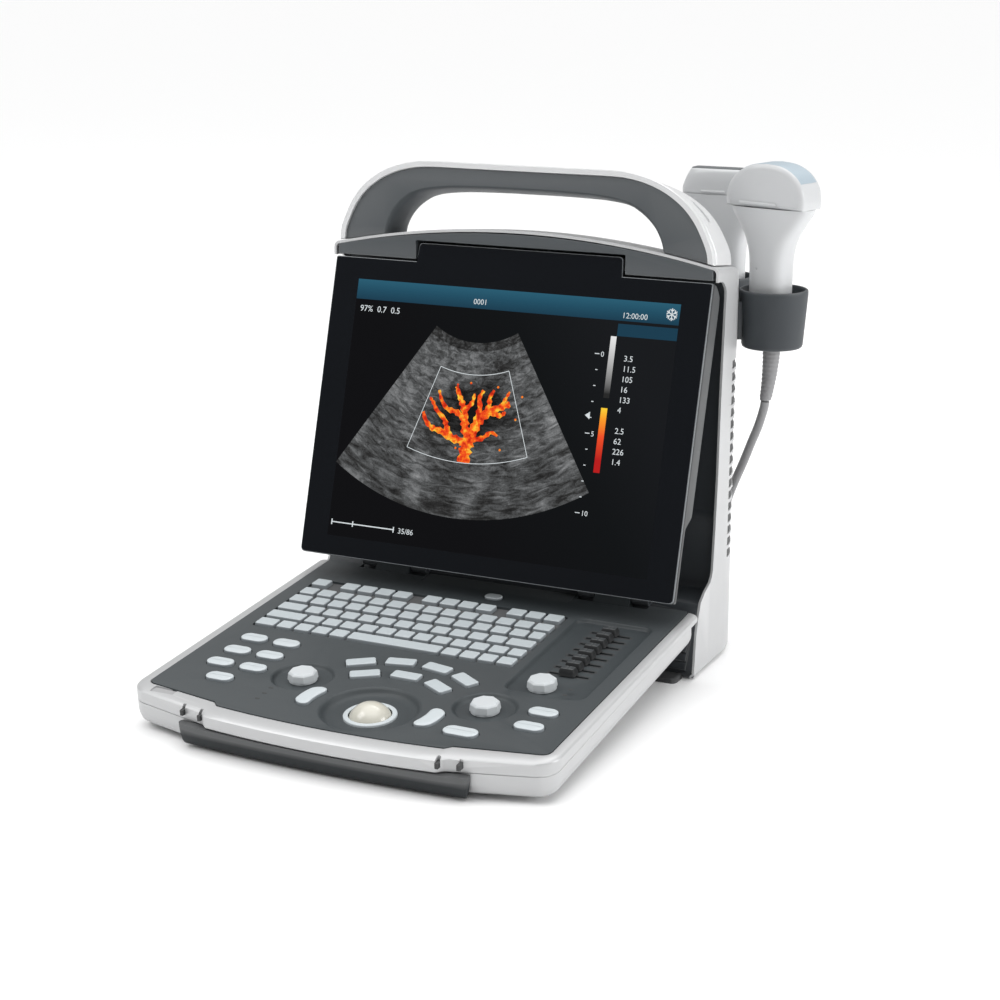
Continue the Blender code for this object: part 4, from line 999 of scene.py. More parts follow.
vesselTree = (
    ((-12, -33), (-11.5, -24), (-10, -16), (-8, -8), (-5, 0), (0, 6), (6, 10), (11, 13)),
    ((-11.5, -24), (-14, -18), (-21, -16), (-27, -12), (-33, -10), (-37, -5), (-39, 1)),
    ((-10, -16), (-13, -9), (-14, -2), (-15, 5), (-17, 11), (-19, 16), (-21, 22)),
    ((-14, -2), (-19, 3), (-25, 5), (-29, 11), (-31, 18)),
    ((-15, 5), (-11, 11), (-10, 18)),
    ((-8, -8), (-7, 0), (-6, 8), (-7, 15), (-5, 21)),
    ((-5, 0), (-1, 9), (-1, 16), (1, 22)),
    ((0, 6), (6, 4), (9, 7)),
    ((-21, -16), (-24, -9), (-26, -3), (-31, 3), (-34, 9), (-36, 12)),
    ((-10, -16), (-3, -14), (2, -9), (6, -11)),
    ((6, 10), (8, 16), (10, 22)),
)
vesselWidths = (5.6, 3.6, 4.0, 2.6, 2.4, 3.2, 2.8, 2.6, 2.6, 2.4, 2.0)


def vesselOutline(points, width):
    line = curveThrough(points, 5)
    left, right = [], []
    for i, point in enumerate(line):
        along = (Vector(line[min(len(line) - 1, i + 1)]) - Vector(line[max(0, i - 1)])).normalized()
        taper = 1 - 0.62 * i / len(line)
        wave = 1 + 0.22 * math.sin(i * 1.7) + 0.13 * math.sin(i * 4.1)
        side = Vector((-along.y, along.x)) * width * taper * wave / 2
        left.append(tuple(Vector(point) + side))
        right.append(tuple(Vector(point) - side))
    return left + right[::-1]


def screenText(words, x, z, size, layer, material):
    clearSelection()
    bpy.ops.object.text_add()
    piece = bpy.context.object
    piece.data.body = words
    piece.data.size = size
    piece.data.resolution_u = 3
    bpy.ops.object.convert(target="MESH")
    piece = bpy.context.object
    piece.data.transform(Matrix.Rotation(math.pi / 2, 4, "X"))
    piece.data.transform(
        Matrix.Translation((x, screen["front"] - screen["step"] * layer, screen["middle"] + z))
    )
    piece.data.transform(monitorFrame @ Matrix.Scale(mm, 4))
    piece.data.materials.clear()
    piece.data.materials.append(material)
    return piece


def makePicture():
    backdrop = litMaterial("pictureBackdrop", backdropPaint)
    title = litMaterial("pictureTitle", titlePaint)
    tissue = litMaterial("pictureTissue", tissuePaint)
    vessel = litMaterial("pictureVessels", vesselPaint)
    greyScale = litMaterial("pictureGreyScale", greyScalePaint)
    flowScale = litMaterial("pictureFlowScale", flowScalePaint)
    white = litMaterial("pictureWhite", whitePaint)
    w, h = screen["half"]
    sheets = [screenSheet("backdrop", bar(-w, -h, 2 * w, 2 * h), 0, backdrop)]
    sheets.append(screenSheet("titleBar", bar(-w, h - 14.2, 2 * w, 14.2), 1, title))
    sheets.append(screenSheet("columnHead", bar(80, 67.6, 43, 8.4), 1, title))
    sheets.append(screenSheet("fan", fanOutline(screen["fanRadii"], screen["fanAngles"]), 1, tissue))
    for i, (points, width) in enumerate(zip(vesselTree, vesselWidths)):
        spread = [(1.32 * x - 6.96, 0.95 * z + 1.85) for x, z in points]
        sheets.append(screenSheet("vessel", vesselOutline(spread, width * 1.7), 2 + 0.12 * i, vessel))
    for x, z in ((-34, 24), (13, 4), (4, -18), (-30, -20), (-3, 25), (16, 20), (-24, 26)):
        sheets.append(screenSheet("fleck", circle(x, z, 0.9, 7), 2, vessel))
    near, far = screen["boxRadii"]
    first, last = screen["boxAngles"]
    spread = [first + (last - first) * i / 16 for i in range(17)]
    for radius in (near, far):
        sheets.append(
            screenSheet("boxArc", strokeOutline([fanPoint(a, radius) for a in spread], 0.45), 3.5, white)
        )
    for angle in (first, last):
        sheets.append(
            screenSheet(
                "boxSide", strokeOutline([fanPoint(angle, near), fanPoint(angle, far)], 0.45), 3.5, white
            )
        )
    sheets.append(screenSheet("greyScale", bar(75.8, 25.3, 4.2, 41.9), 1.5, greyScale))
    sheets.append(screenSheet("flowScale", bar(75.2, -25.6, 4.6, 44), 1.5, flowScale))
    for i in range(11):
        wide = 3.4 if i % 5 == 0 else 1.6
        sheets.append(screenSheet("depthMark", bar(69 - wide, 54.3 - 10.85 * i, wide, 0.6), 1.5, white))
    sheets.append(screenSheet("focusMark", [(64, 12.4), (67.6, 15), (67.6, 9.8)], 1.5, white))
    sheets.append(screenSheet("replayBar", bar(-121, -82.9, 51, 0.8), 1.5, white))
    for x in (-121, -104, -71):
        sheets.append(screenSheet("replayMark", bar(x, -84.5, 0.9, 4), 1.6, white))
    for words, x, z, size in (
        ("0", 70, 52.8, 5), ("5", 70, -1.5, 5), ("10", 70, -55.6, 5), ("35/86", -67, -84.6, 5.4),
        ("97%  0.7  0.5", -119, 69.5, 6.2), ("3.5", 87, 51, 5.6), ("11.5", 87, 44, 5.6), ("105", 87, 37, 5.6),
        ("16", 87, 30, 5.6), ("133", 87, 23, 5.6), ("4", 87, 16, 5.6), ("2.5", 87, 2, 5.6), ("62", 87, -5, 5.6),
        ("226", 87, -12, 5.6), ("1.4", 87, -19, 5.6), ("12:00:00", 82, 80, 5.4), ("0001", -30, 81, 5.4)):
        sheets.append(screenText(words, x, z, size, 1.6, white))
    for i in range(6):
        a = math.pi * i / 3 + math.pi / 6
        out, side = Vector((math.cos(a), math.sin(a))), Vector((-math.sin(a), math.cos(a)))
        centre = Vector((117.4, 85.0))
        lines = [[centre, centre + out * 4.2]]
        lines += [[centre + out * 2.3, centre + out * 3.5 + side * turn * 1.5] for turn in (-1, 1)]
        for line in lines:
            sheets.append(screenSheet("freezeSign", strokeOutline([tuple(p) for p in line], 0.7), 1.6, white))
    picture = joinPieces("screenPicture", sheets)
    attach(picture, "monitor")
    print("picture done")


# control panel: x across, y towards the hinge and z up from the plane of the key tops

panel = {
    "coverHalf": 140.6,
    "rimHalf": 147.6,
    "leftSpread": 1.017,
    "coverTop": -1.6,
    "coverBottom": -9.0,
    "seam": -7.6,
    "hinge": (41.32, 1.92),
    "recess": -4.6,
    "ball": (12.0, -174.0),
    "ballDish": (33.0, 25.0, -6.6),
    "dial": {"left": (-52.0, -147.5), "right": (77.8, -146.0), "gain": (96.5, -102.5)},
    "dish": (21.5, 17.5),
}


def panelOutline(half, rear, corner, shoulder, step, front, rearRadius, frontRadius):
    rise = front - step
    corners = [(half, rear, rearRadius), (-half, rear, rearRadius), (-half - 0.6, -corner, frontRadius)]
    edge = [(84, shoulder), (80, step), (67, step + rise * 0.3), (54, step + rise * 0.55),
            (40, step + rise * 0.75), (27, step + rise * 0.88), (13, step + rise * 0.97)]
    corners += [(-x, -u, 0) for x, u in edge] + [(0, -front, 0)] + [(x, -u, 0) for x, u in edge[::-1]]
    corners.append((half + 0.6, -corner, frontRadius))
    return antiClockwise(rounded(corners, 7))


def coverOutline(spread=0.0, rear=40.3):
    return panelOutline(
        panel["coverHalf"] + spread, rear, 191 + spread, 201 + spread, 205.2 + spread, 210 + spread, 3, 6
    )


def rimOutline(rear=38.5):
    outline = panelOutline(panel["rimHalf"], rear, 199, 214.5, 218, 222.5, 14, 16)
    return [(x * panel["leftSpread"] if x < 0 else x, y) for x, y in outline]


def between(first, last, share):
    return [(a[0] + (b[0] - a[0]) * share, a[1] + (b[1] - a[1]) * share) for a, b in zip(first, last)]


ovalButtons = {f"left_button_{i + 1}": spot for i, spot in enumerate(
    [(-113.3, 108), (-88.3, 108), (-113.3, 129), (-88.3, 129), (-113.3, 149.5), (-88.3, 149.5),
     (-100.9, 169.5)])}
ovalButtons.update({"right_button_1": (115.3, 141.5), "right_button_2": (115.3, 162.5)})


def ovalOutline(x, u, width=19.5, depth=11.0, grow=0.0, turn=0.0):
    return boxOutline(x, -u, width + 2 * grow, depth + 2 * grow, depth / 2 + grow - 0.01, turn, 8)


def beanOutline(x, u, turn, grow=0.0):
    # a bar with round ends, bent round the ball
    long, half, bend = 7.4, 5.5 + grow, 2.6
    points = []
    for end in (1, -1):
        for i in range(-6, 7):
            a = math.radians(15 * i) + (0 if end > 0 else math.pi)
            points.append((end * long + half * math.cos(a), half * math.sin(a)))
        points += [(end * long * (1 - k / 3), end * half) for k in range(1, 6)]
    bent = [(px, py - bend * (1 - (px / 13.6) ** 2)) for px, py in points]
    c, s = math.cos(math.radians(turn)), math.sin(math.radians(turn))
    return [(x + c * px - s * py, -u + s * px + c * py) for px, py in bent]


def buttonOutlines(grow=0.0):
    found = {name: ovalOutline(x, u, grow=grow) for name, (x, u) in ovalButtons.items()}
    found["left_kidney_button"] = beanOutline(-29.6, 173, -96, grow)
    found["right_kidney_button"] = beanOutline(52.6, 174, 84, grow)
    found["freeze_button"] = ovalOutline(80.1, 184.2, 23, 11.5, grow)
    found["power_button"] = ovalOutline(4.6, -16.5, 13, 8.5, grow)
    return found


arcKeys = [(72.0, a) for a in (-31.7, -10.7, 10.7, 31.7)] + [(53.0, a) for a in (-29.8, 0.0, 29.8)]


def arcKeyOutline(radius, angle, grow=0.0):
    x = 11.2 + radius * math.sin(math.radians(angle))
    u = 177.7 - radius * math.cos(math.radians(angle))
    return boxOutline(x, -u, 20 + 2 * grow, 10 + 2 * grow, 1.8 + grow, -angle)


def wellOutline(grow=0.0):
    low, high, near, far = -129.0 - grow, 68.7 + grow, 1.8 + grow, -87.4 - grow
    return rounded([(low, far, 2), (high, far, 2), (high, near, 2), (low, near, 2)], 4)


sliderX, sliderFirst, sliderPitch = 104.4, 10.1, 9.83


def makeCover():
    top = panel["coverTop"]
    piece = block("panelCover", coverOutline(), panel["coverBottom"], top, panelFrame)
    notches = []
    for side in (-1, 1):
        for low in (59.4, 99.4):
            ends = sorted((side * low, side * (low + 13.2)))
            notches.append(
                block("notch", [(34, -12), (60, -12), (60, 12), (34, 12)], *ends, panelFrame, sideways)
            )
    combine(piece, joinPieces("notches", notches))
    y, z = panel["hinge"]
    for side in (-1, 1):
        ends = sorted((side * 72.9, side * 99.1))
        foot = [(y - 0.2, -6), (y - 9, -6), (y - 9, -2.4)]
        combine(piece, knuckle(y, z, *ends, (150, -60), foot, panelFrame), "UNION")
    floor = panel["recess"]
    for name in ("left", "right"):
        x, y = panel["dial"][name]
        wide, narrow = panel["dish"]
        rings = [(narrow - 1, floor), (wide - 3.6, floor + 0.12), (wide - 2.7, floor + 0.5),
                 (wide - 2.1, floor + 1.1), (wide - 1.6, floor + 1.9), (wide - 1.0, top - 0.5),
                 (wide, top + 0.01), (wide, 9)]
        combine(piece, loftPiece("dish", [level(circle(x, y, r, 48), z) for r, z in rings], panelFrame))
    x, y = panel["ball"]
    wide, narrow, deep = panel["ballDish"]
    rings = [(narrow - 2, deep), (wide - 6, deep + 0.3), (wide - 4.2, deep + 1.1), (wide - 3.2, deep + 2.1),
             (wide - 2.4, deep + 3.4), (wide - 1.6, top - 0.8), (wide, top + 0.01), (wide, 9)]
    combine(piece, loftPiece("ballDish", [level(circle(x, y, r, 64), z) for r, z in rings], panelFrame))
    field = []
    for d, z in ((4.5, floor), (3.2, floor + 0.12), (2.4, floor + 0.5), (1.9, floor + 1.1), (1.5, floor + 1.9),
                 (1.0, top - 0.5), (0, top + 0.01), (0, 9)):
        corners = [(74 + d, -118 + d), (131 - d, -118 + d), (131 - d, 6 - d), (74 + d, 6 - d)]
        field.append(level(rounded([(x, y, 8.5 - d) for x, y in corners], 8), z))
    combine(piece, loftPiece("sliderField", field, panelFrame))
    holes = [block("hole", wellOutline(), -12, 22, panelFrame)]
    holes += [block("hole", arcKeyOutline(r, a, 0.5), -12, 22, panelFrame) for r, a in arcKeys]
    holes += [block("hole", outline, -12, 22, panelFrame) for outline in buttonOutlines(0.5).values()]
    holes += [block("hole", circle(x, y, 3.4, 20), -12, 22, panelFrame) for x, y in panel["dial"].values()]
    holes.append(block("hole", circle(*panel["ball"], 17.4, 48), -12, 22, panelFrame))
    for i in range(8):
        outline = boxOutline(sliderX, -sliderFirst - sliderPitch * i, 27.5, 2.0, 0.95)
        holes.append(block("hole", outline, -12, 22, panelFrame))
    combine(piece, joinPieces("holes", holes))
    grooves = [
        block("groove", boxOutline(side * 58, 33.5, 0.7, 15, 0.3), top - 0.5, 2, panelFrame)
        for side in (-1, 1)
    ]
    ring = [
        level(ovalOutline(4.6, -16.5, 13, 8.5, g), z)
        for g, z in ((1.2, top - 0.5), (2.2, top + 0.01), (2.2, 3))
    ]
    grooves.append(loftPiece("powerRing", ring, panelFrame))
    combine(piece, joinPieces("grooves", grooves))
    bevel(piece, 0.35, 2, 38)
    finishPiece(piece, "panel", coverPlastic, ["panel_cover"], angle=28)
    print("cover done")


def lowered(outline, z, share=1.0):
    # the seam and the lower shell come down towards the front
    ring = []
    for x, y in outline:
        t = min(1.0, max(0.0, (-y - 160) / 38))
        ring.append((x, y, z - 5.3 * share * t * t * (3 - 2 * t)))
    return ring


rimNotches = ((-101.4, 211.6), (-86.8, 214.4), (81.2, 217.0), (94.4, 214.6))
coverMarks = ((-61.7, 170.6), (-61.5, 179.0), (-61.4, 187.3), (116.6, 104.0), (116.5, 112.4))


def makeRim():
    inner, outer = coverOutline(0.3, 60), rimOutline(75)
    shape = [(0, panel["seam"]), (0, -2.5), (0.04, -2.0), (0.10, -1.85), (0.3, -1.95), (0.5, -2.2), (0.7, -2.6),
             (0.84, -3.1), (0.93, -3.8), (0.985, -4.4), (1.0, -5.2), (1.0, panel["seam"] + 1.2),
             (0.9, panel["seam"])]
    rings = [
        lowered(between(inner, outer, share), z, 1 if share > 0.88 and z < -4.9 else 0)
        for share, z in shape
    ]
    piece = loftPiece("panelRim", rings, panelFrame, hoop=True)
    combine(piece, block("rearCut", [(-160, 38.6), (160, 38.6), (160, 95), (-160, 95)], -20, 20, panelFrame))
    notches = [block("notch", boxOutline(x, -y, 2.4, 7, 0.6), -8.4, 2, panelFrame) for x, y in rimNotches]
    notches.append(block("notch", boxOutline(-124.5, -198, 18, 6.4, 0.8, -3), -3.2, 2, panelFrame))
    combine(piece, joinPieces("notches", notches))
    bevel(piece, 0.3, 2, 50)
    finishPiece(piece, "panel", silverPaint, ["panel_rim"], angle=38)
    fills = [
        block("fill", boxOutline(x, -y + 0.6, 2.4, 5.6, 0.6), -8.9, -5.4, panelFrame)
        for x, y in rimNotches
    ]
    finishPiece(joinPieces("notchFills", fills), "panel", blackPlastic)
    label = softBox("rimLabel", -124.5, -198, (17.4, 5.8), 0.6, ((0, -3.6), (0, -2.9), (0.2, -2.8)), -3)
    finishPiece(label, "panel", labelGrey)
    marks = [block("mark", boxOutline(x, -u, 3.4, 1.7, 0.8), -1.62, -1.5, panelFrame) for x, u in coverMarks]
    finishPiece(joinPieces("coverMarks", marks), "panel", blackPlastic)
    outer = rimOutline()
    base = loftPiece("panelBase", [lowered(inset(outer, d), z, share) for d, z, share in (
        (12, -21.5, 0), (6, -14, 0), (6, -7.9, 0), (1.6, -7.9, 1), (1.2, -7.0, 1), (0.1, -7.0, 1),
        (0, -7.4, 1), (0, -13, 1), (0.4, -15.5, 1.1), (1.6, -18.2, 1.25), (4, -20.8, 1.15),
        (7, -22.9, 0.95), (10.5, -24.1, 0.7), (15, -24.5, 0.5))], panelFrame)
    x, y = panel["ball"]
    boss = [(18.5, -22), (18.5, -28.4), (18, -29), (17, -29.4)]
    combine(base, loftPiece("boss", [level(circle(x, y, r, 48), z) for r, z in boss], panelFrame), "UNION")
    well = [(15.8, -10), (15.8, -26), (10, -28)]
    combine(base, loftPiece("well", [level(circle(x, y, r, 40), z) for r, z in well], panelFrame))
    combine(base, block("gripCut", gripOutline(0.3), -40, 10, panelFrame))
    combine(base, block("coverCut", coverOutline(0.3), -9.3, 10, panelFrame))
    for side in (-1, 1):
        for low in (59.4, 99.4):
            ends = sorted((side * low, side * (low + 13.2)))
            combine(
                base,
                block("notch", [(34, -12), (60, -12), (60, 12), (34, 12)], *ends, panelFrame, sideways)
            )
    finishPiece(base, "panel", silverPaint, ["panel_base"], angle=38)
    pads = []
    for x, y in ((-118, -190), (118, -190), (-118, 14), (118, 14)):
        outline = boxOutline(x, y, 22, 9, 4.4)
        pads.append(
            loftPiece(
                "pad",
                [level(inset(outline, d), z) for d, z in ((0, -24.0), (0, -25.2), (0.4, -25.6), (1, -25.8))],
                panelFrame
            )
        )
    finishPiece(joinPieces("panelPads", pads), "panel", softRubber)
    print("rim and base done")


def gripOutline(grow=0.0):
    low, high = -103.8 - grow, 100.2 + grow
    corners = [(low, -210.9 + grow, 2), (low, -216.2 - grow, 4)]
    for i in range(-8, 9):
        x = 11 * i
        corners.append((x, -222.6 + 5.4 * (x / 103) ** 2 - grow, 0))
    corners += [(high, -216.8 - grow, 4), (high, -210.9 + grow, 2)]
    return antiClockwise(rounded(corners, 6))


def makeGrip():
    outline = gripOutline()
    rings = [level(outline, -13.2)]
    for z, reach, narrow in (
        (-17, 221.7, 0.998), (-21, 220.4, 0.992), (-25, 218.6, 0.984), (-27.4, 217.2, 0.976),
        (-28.8, 215.4, 0.968)
    ):
        rings.append(level([(x * narrow, max(y, -reach + 3.8 * (x / 103) ** 2)) for x, y in outline], z))
    piece = loftPiece("frontGrip", rings, panelFrame)
    bevel(piece, 0.5, 2, 45)
    finishPiece(piece, "panel", gripPlastic, ["front_grip"], angle=38)
    print("grip done")


def keyRows():
    keys = []
    rows = [0.0, 16.9, 31.2, 46.2, 61.0, 75.5]
    for start, count in ((-127.0, 1), (-103.6, 4), (-38.2, 4), (27.2, 3)):
        keys += [(start + 14.0 * i, 11.3, rows[0]) for i in range(count)]
    plain = ((-127.0, 13), (-110.0, 12), (-105.3, 11), (-97.0, 11))
    last = ((55.0, 11.7), (58.0, 8.7), (48.7, 18.0), (57.0, 9.7))
    for row, (start, count), wide, (end, endWidth) in zip(rows[1:5], plain, (0.0, 13.8, 18.6, 27.0), last):
        if wide:
            keys.append((-127.0, wide, row))
        keys += [(start + 14.0 * i, 11.0, row) for i in range(count)]
        keys.append((end, endWidth, row))
    keys.append((-127.0, 13.9, rows[5]))
    keys += [(-110.1 + 13.8 * i, 10.8, rows[5]) for i in range(4)]
    keys.append((-54.8, 67.4, rows[5]))
    keys += [(15.6 + 13.5 * i, 10.6, rows[5]) for i in range(3)]
    keys.append((56.1, 10.6, rows[5]))
    return keys


def paintLitTops(piece, topMaterial, sideMaterial, limit=0.75):
    # upward faces get the first material and the rest the second: painted light on tops, painted shade on sides
    paintFacing(piece, topMaterial, sideMaterial, panelFrame.to_3x3() @ Vector((0, 0, 1)), limit)


def softBox(name, x, y, size, radius, shape, turn=0.0, place=panelFrame):
    # a rounded block whose outline shrinks by each distance at each height
    wide, deep = size
    rings = []
    for d, z in shape:
        rings.append(level(boxOutline(x, y, wide - 2 * d, deep - 2 * d, max(0.3, radius - d), turn, 3), z))
    return loftPiece(name, rings, place)


def makeKeyboard():
    keys = []
    shape = ((0, -3.1), (0, -1.0), (0.15, -0.4), (0.5, -0.05), (0.9, 0.0), (2.4, -0.1))
    for x, width, row in keyRows():
        keys.append(softBox("key", x + width / 2, -row - 5.1, (width + 0.8, 10.6), 1.3, shape))
    shape = ((0, -3.4), (0, -0.7), (0.3, -0.1), (0.8, 0.15), (1.6, 0.2), (3.0, 0.12))
    for radius, angle in arcKeys:
        x = 11.2 + radius * math.sin(math.radians(angle))
        u = 177.7 - radius * math.cos(math.radians(angle))
        keys.append(softBox("key", x, -u, (20, 10), 1.8, shape, -angle))
    board = joinPieces("keyboardKeys", keys)
    # key tops get the lit grey and key sides the painted shade
    paintLitTops(board, keyTopLit, keySideShaded, 0.6)
    finishPiece(board, "panel", None, ["keymat"], angle=45)
    mat = block("keyMat", wellOutline(-0.4), -10.9, -3.0, panelFrame)
    arcs = [block("keyMat", arcKeyOutline(r, a, 0.2), -10.9, -3.3, panelFrame) for r, a in arcKeys]
    mat = joinPieces("keyMat", [mat] + arcs)
    finishPiece(mat, "panel", softRubber)
    print("keyboard done")


def makeButtons():
    for name, outline in buttonOutlines().items():
        deep = -12.6
        shape = [(0, deep), (0, -0.7), (0.2, -0.15), (0.7, 0.2), (1.5, 0.42), (2.8, 0.55)]
        if name == "power_button":
            shape = [(0, deep), (0, -1.3), (0.25, -0.9), (0.8, -0.7), (1.6, -0.75)]
        piece = loftPiece(
            name.replace("_", " ").title().replace(" ", ""),
            [level(inset(outline, d), z) for d, z in shape], panelFrame
        )
        # button tops get the pale grey and sides the darker key side grey: painted shade on the sides
        paintLitTops(piece, buttonTop, keySideShaded, 0.5)
        finishPiece(piece, name + "_cap", None, [name], angle=50)
    print("buttons done")


def makeDials():
    for name, (x, y) in panel["dial"].items():
        top = 2.2
        rings = [level(circle(x, y, 3.0, 96), -14), level(circle(x, y, 3.0, 96), -4.25)]
        profile = ((9.2, -4.25, 0), (9.2, -3.4, 0), (9.9, -3.1, 1), (9.9, -2.5, 1), (9.4, 1.1, 1),
                   (8.8, 1.9, 1), (8.0, top + 0.2, 1), (4, top + 0.35, 0.5))
        for radius, z, facet in profile:
            ring = []
            for i in range(96):
                a = math.tau * i / 96
                flat = math.cos(math.pi / 8) / math.cos((a + 0.2) % (math.pi / 4) - math.pi / 8)
                r = radius * (1 - facet + facet * flat)
                ring.append((x + r * math.cos(a), y + r * math.sin(a), z))
            rings.append(ring)
        piece = loftPiece(name + "Dial", rings, panelFrame)
        node = {"left": "left_knob", "right": "right_knob", "gain": "gain_knob"}[name]
        finishPiece(piece, name + "_dial", knobWhite, [node], angle=24)
    print("dials done")


def makeBall():
    x, y = panel["ball"]
    clearSelection()
    bpy.ops.mesh.primitive_uv_sphere_add(segments=64, ring_count=40, radius=14.6)
    piece = bpy.context.object
    piece.name = "trackBall"
    piece.data.transform(panelFrame @ Matrix.Scale(mm, 4) @ Matrix.Translation((x, y, -12.5)))
    finishPiece(piece, "ball", ballIvory, ["trackball"], weighted=False)
    profile = (
        (15.2, -8.6), (14.2, -6.3), (13.75, -5.7), (13.9, -5.35), (14.4, -5.2), (16.1, -5.2), (16.7, -5.4),
        (17.1, -5.9), (17.1, -8.6)
    )
    ring = loftPiece("ballRing", [level(circle(x, y, r, 64), z) for r, z in profile], panelFrame, hoop=True)
    finishPiece(ring, "panel", buttonTop, ["trackball_ring"], angle=45)
    print("ball done")


def makeSliders():
    for i in range(8):
        y = -sliderFirst - sliderPitch * i
        stem = block("stem", boxOutline(sliderX, y, 3.4, 1.3), -13.6, -3.4, panelFrame)
        shape = ((0, -3.8), (0, -1.6), (0.25, -0.8), (1.0, 0.6), (1.3, 1.0), (1.8, 1.2), (3.2, 1.0))
        cap = softBox("cap", sliderX - 0.4, y, (11.4, 7.4), 1.6, shape)
        combine(cap, block("capLine", boxOutline(sliderX, y, 0.7, 5.4), 0.9, 3, panelFrame))
        piece = joinPieces(f"gainSlider{i + 1}", [cap, stem])
        # cap tops get the dark grey and sides black: painted shade on the cap sides
        paintLitTops(piece, capPlastic, blackPlastic, 0.8)
        finishPiece(piece, f"gain_{i + 1}", None, [f"gain_slider_{i + 1}"], angle=45)
    # a thin black band round each slider slot, widening the dark lines of the slots
    marks = []
    for i in range(8):
        y = -sliderFirst - sliderPitch * i
        marks.append(block("mark", boxOutline(sliderX, y, 30.5, 4.4, 2.1), -4.65, -4.54, panelFrame))
    cutters = [
        block("slot", boxOutline(sliderX, -sliderFirst - sliderPitch * i, 27.5, 2, 0.95), -6, -3, panelFrame)
        for i in range(8)
    ]
    marks = joinPieces("sliderSlotBands", marks)
    combine(marks, joinPieces("slots", cutters))
    finishPiece(marks, "panel", blackPlastic)
    print("sliders done")


# probes and holders

cups = {"reach": 90.7, "front": 29.8, "rear": 73.7, "low": 216.5, "high": 257.0}


def cupCentre(angle):
    a = math.radians(angle)
    return 81.5 + cups["reach"] * math.cos(a), 95 + cups["reach"] * math.sin(a)


def makeCup(name, angle, node):
    x, y = cupCentre(angle)
    openAt, halfSlot = math.radians(angle + 90), math.radians(19)

    def ring(outer, inner, z):
        span = math.tau - 2 * halfSlot
        arc = [openAt + halfSlot + span * i / 44 for i in range(45)]
        loop = [(x + outer * math.cos(a), y + outer * math.sin(a), z) for a in arc]
        return loop + [(x + inner * math.cos(a), y + inner * math.sin(a), z) for a in arc[::-1]]

    low, high = cups["low"], cups["high"]
    shape = ((20.0, 18.2, low), (20.8, 18.0, low + 0.6), (21.4, 18.6, low + 2.5), (23.9, 21.2, high - 4),
             (23.9, 21.4, high - 1.4), (23.6, 21.7, high - 0.4), (23.0, 22.2, high))
    cup = loftPiece(name, [ring(*row) for row in shape])
    back = math.radians(angle + 180)
    out = Vector((math.cos(back), math.sin(back)))
    across = Vector((-out.y, out.x))
    corners = [Vector((x, y)) + out * a + across * b for a, b in ((22.4, -5), (25.3, -5), (25.3, 5), (22.4, 5))]
    combine(cup, block("pad", [tuple(c) for c in corners], low + 6, high - 8), "UNION")
    bevel(cup, 0.5, 2, 45)
    finishPiece(cup, "scanner", darkPlastic, [node], angle=38)


def probeRings(x, y, shape, turn, count=56, steps=4, power=0.6):
    c, s = math.cos(math.radians(turn)), math.sin(math.radians(turn))
    spots = [Vector(row) for row in shape]
    fine = []
    ends = [2 * spots[0] - spots[1]] + spots + [2 * spots[-1] - spots[-2]]
    for i in range(1, len(ends) - 2):
        a, b, e, d = ends[i - 1 : i + 3]
        for k in range(steps):
            t = k / steps
            fine.append(
                0.5 * (
                    2 * b + (e - a) * t + (2 * a - 5 * b + 4 * e - d) * t * t + (3 * b - a - 3 * e + d) * t**3
                )
            )
    fine.append(spots[-1])
    rings = []
    for wide, deep, z in fine:
        ring = []
        for i in range(count):
            a = math.tau * (i + 0.5) / count
            px = wide * math.copysign(abs(math.cos(a)) ** power, math.cos(a))
            py = deep * math.copysign(abs(math.sin(a)) ** power, math.sin(a))
            ring.append((x + c * px - s * py, y + s * px + c * py, z))
        rings.append(ring)
    return rings


probe = {
    "front": {
        "shift": (-2.0, -1.0),
        "turn": -14,
        "body": [(8, 8, 217.4), (9.6, 9.2, 218.6), (11.4, 11, 224), (13.2, 12, 238), (13.5, 12.3, 262),
                 (14.2, 12.5, 280), (17.5, 12.9, 292), (24.0, 13.2, 302.5), (29.0, 13.3, 309.5),
                 (30.6, 13.2, 313.4)],
        "profile": [(30.4, 313.6), (31.0, 317), (30.9, 321), (29.6, 327), (26.6, 332.4), (22.2, 336.9),
                    (16.4, 340.4), (9.4, 342.6), (0, 343.4)],
        "edge": ((-13.2, 4.4), (-13.0, 2.6), (-12.3, 1.0), (-11.2, 0.2), (-10, 0), (10, 0), (11.2, 0.2),
                 (12.3, 1.0), (13.0, 2.6), (13.2, 4.4)),
        "lensFrom": 331.0,
    },
    "rear": {
        "body": [(8, 8, 217.4), (9.6, 9.2, 218.6), (12.4, 11, 224), (15.5, 12, 240), (16.3, 12.2, 266),
                 (17.6, 12.4, 284), (23.5, 12.6, 300), (28.8, 12.6, 310.5), (30.0, 12.6, 315.5)],
        "nose": [(29.5, 12.2, 315.7), (30.1, 12.4, 316.6), (29.9, 12.3, 320), (27.4, 11.8, 326.5),
                 (24.6, 10.6, 331.6), (23.6, 8.8, 333)],
    },
}


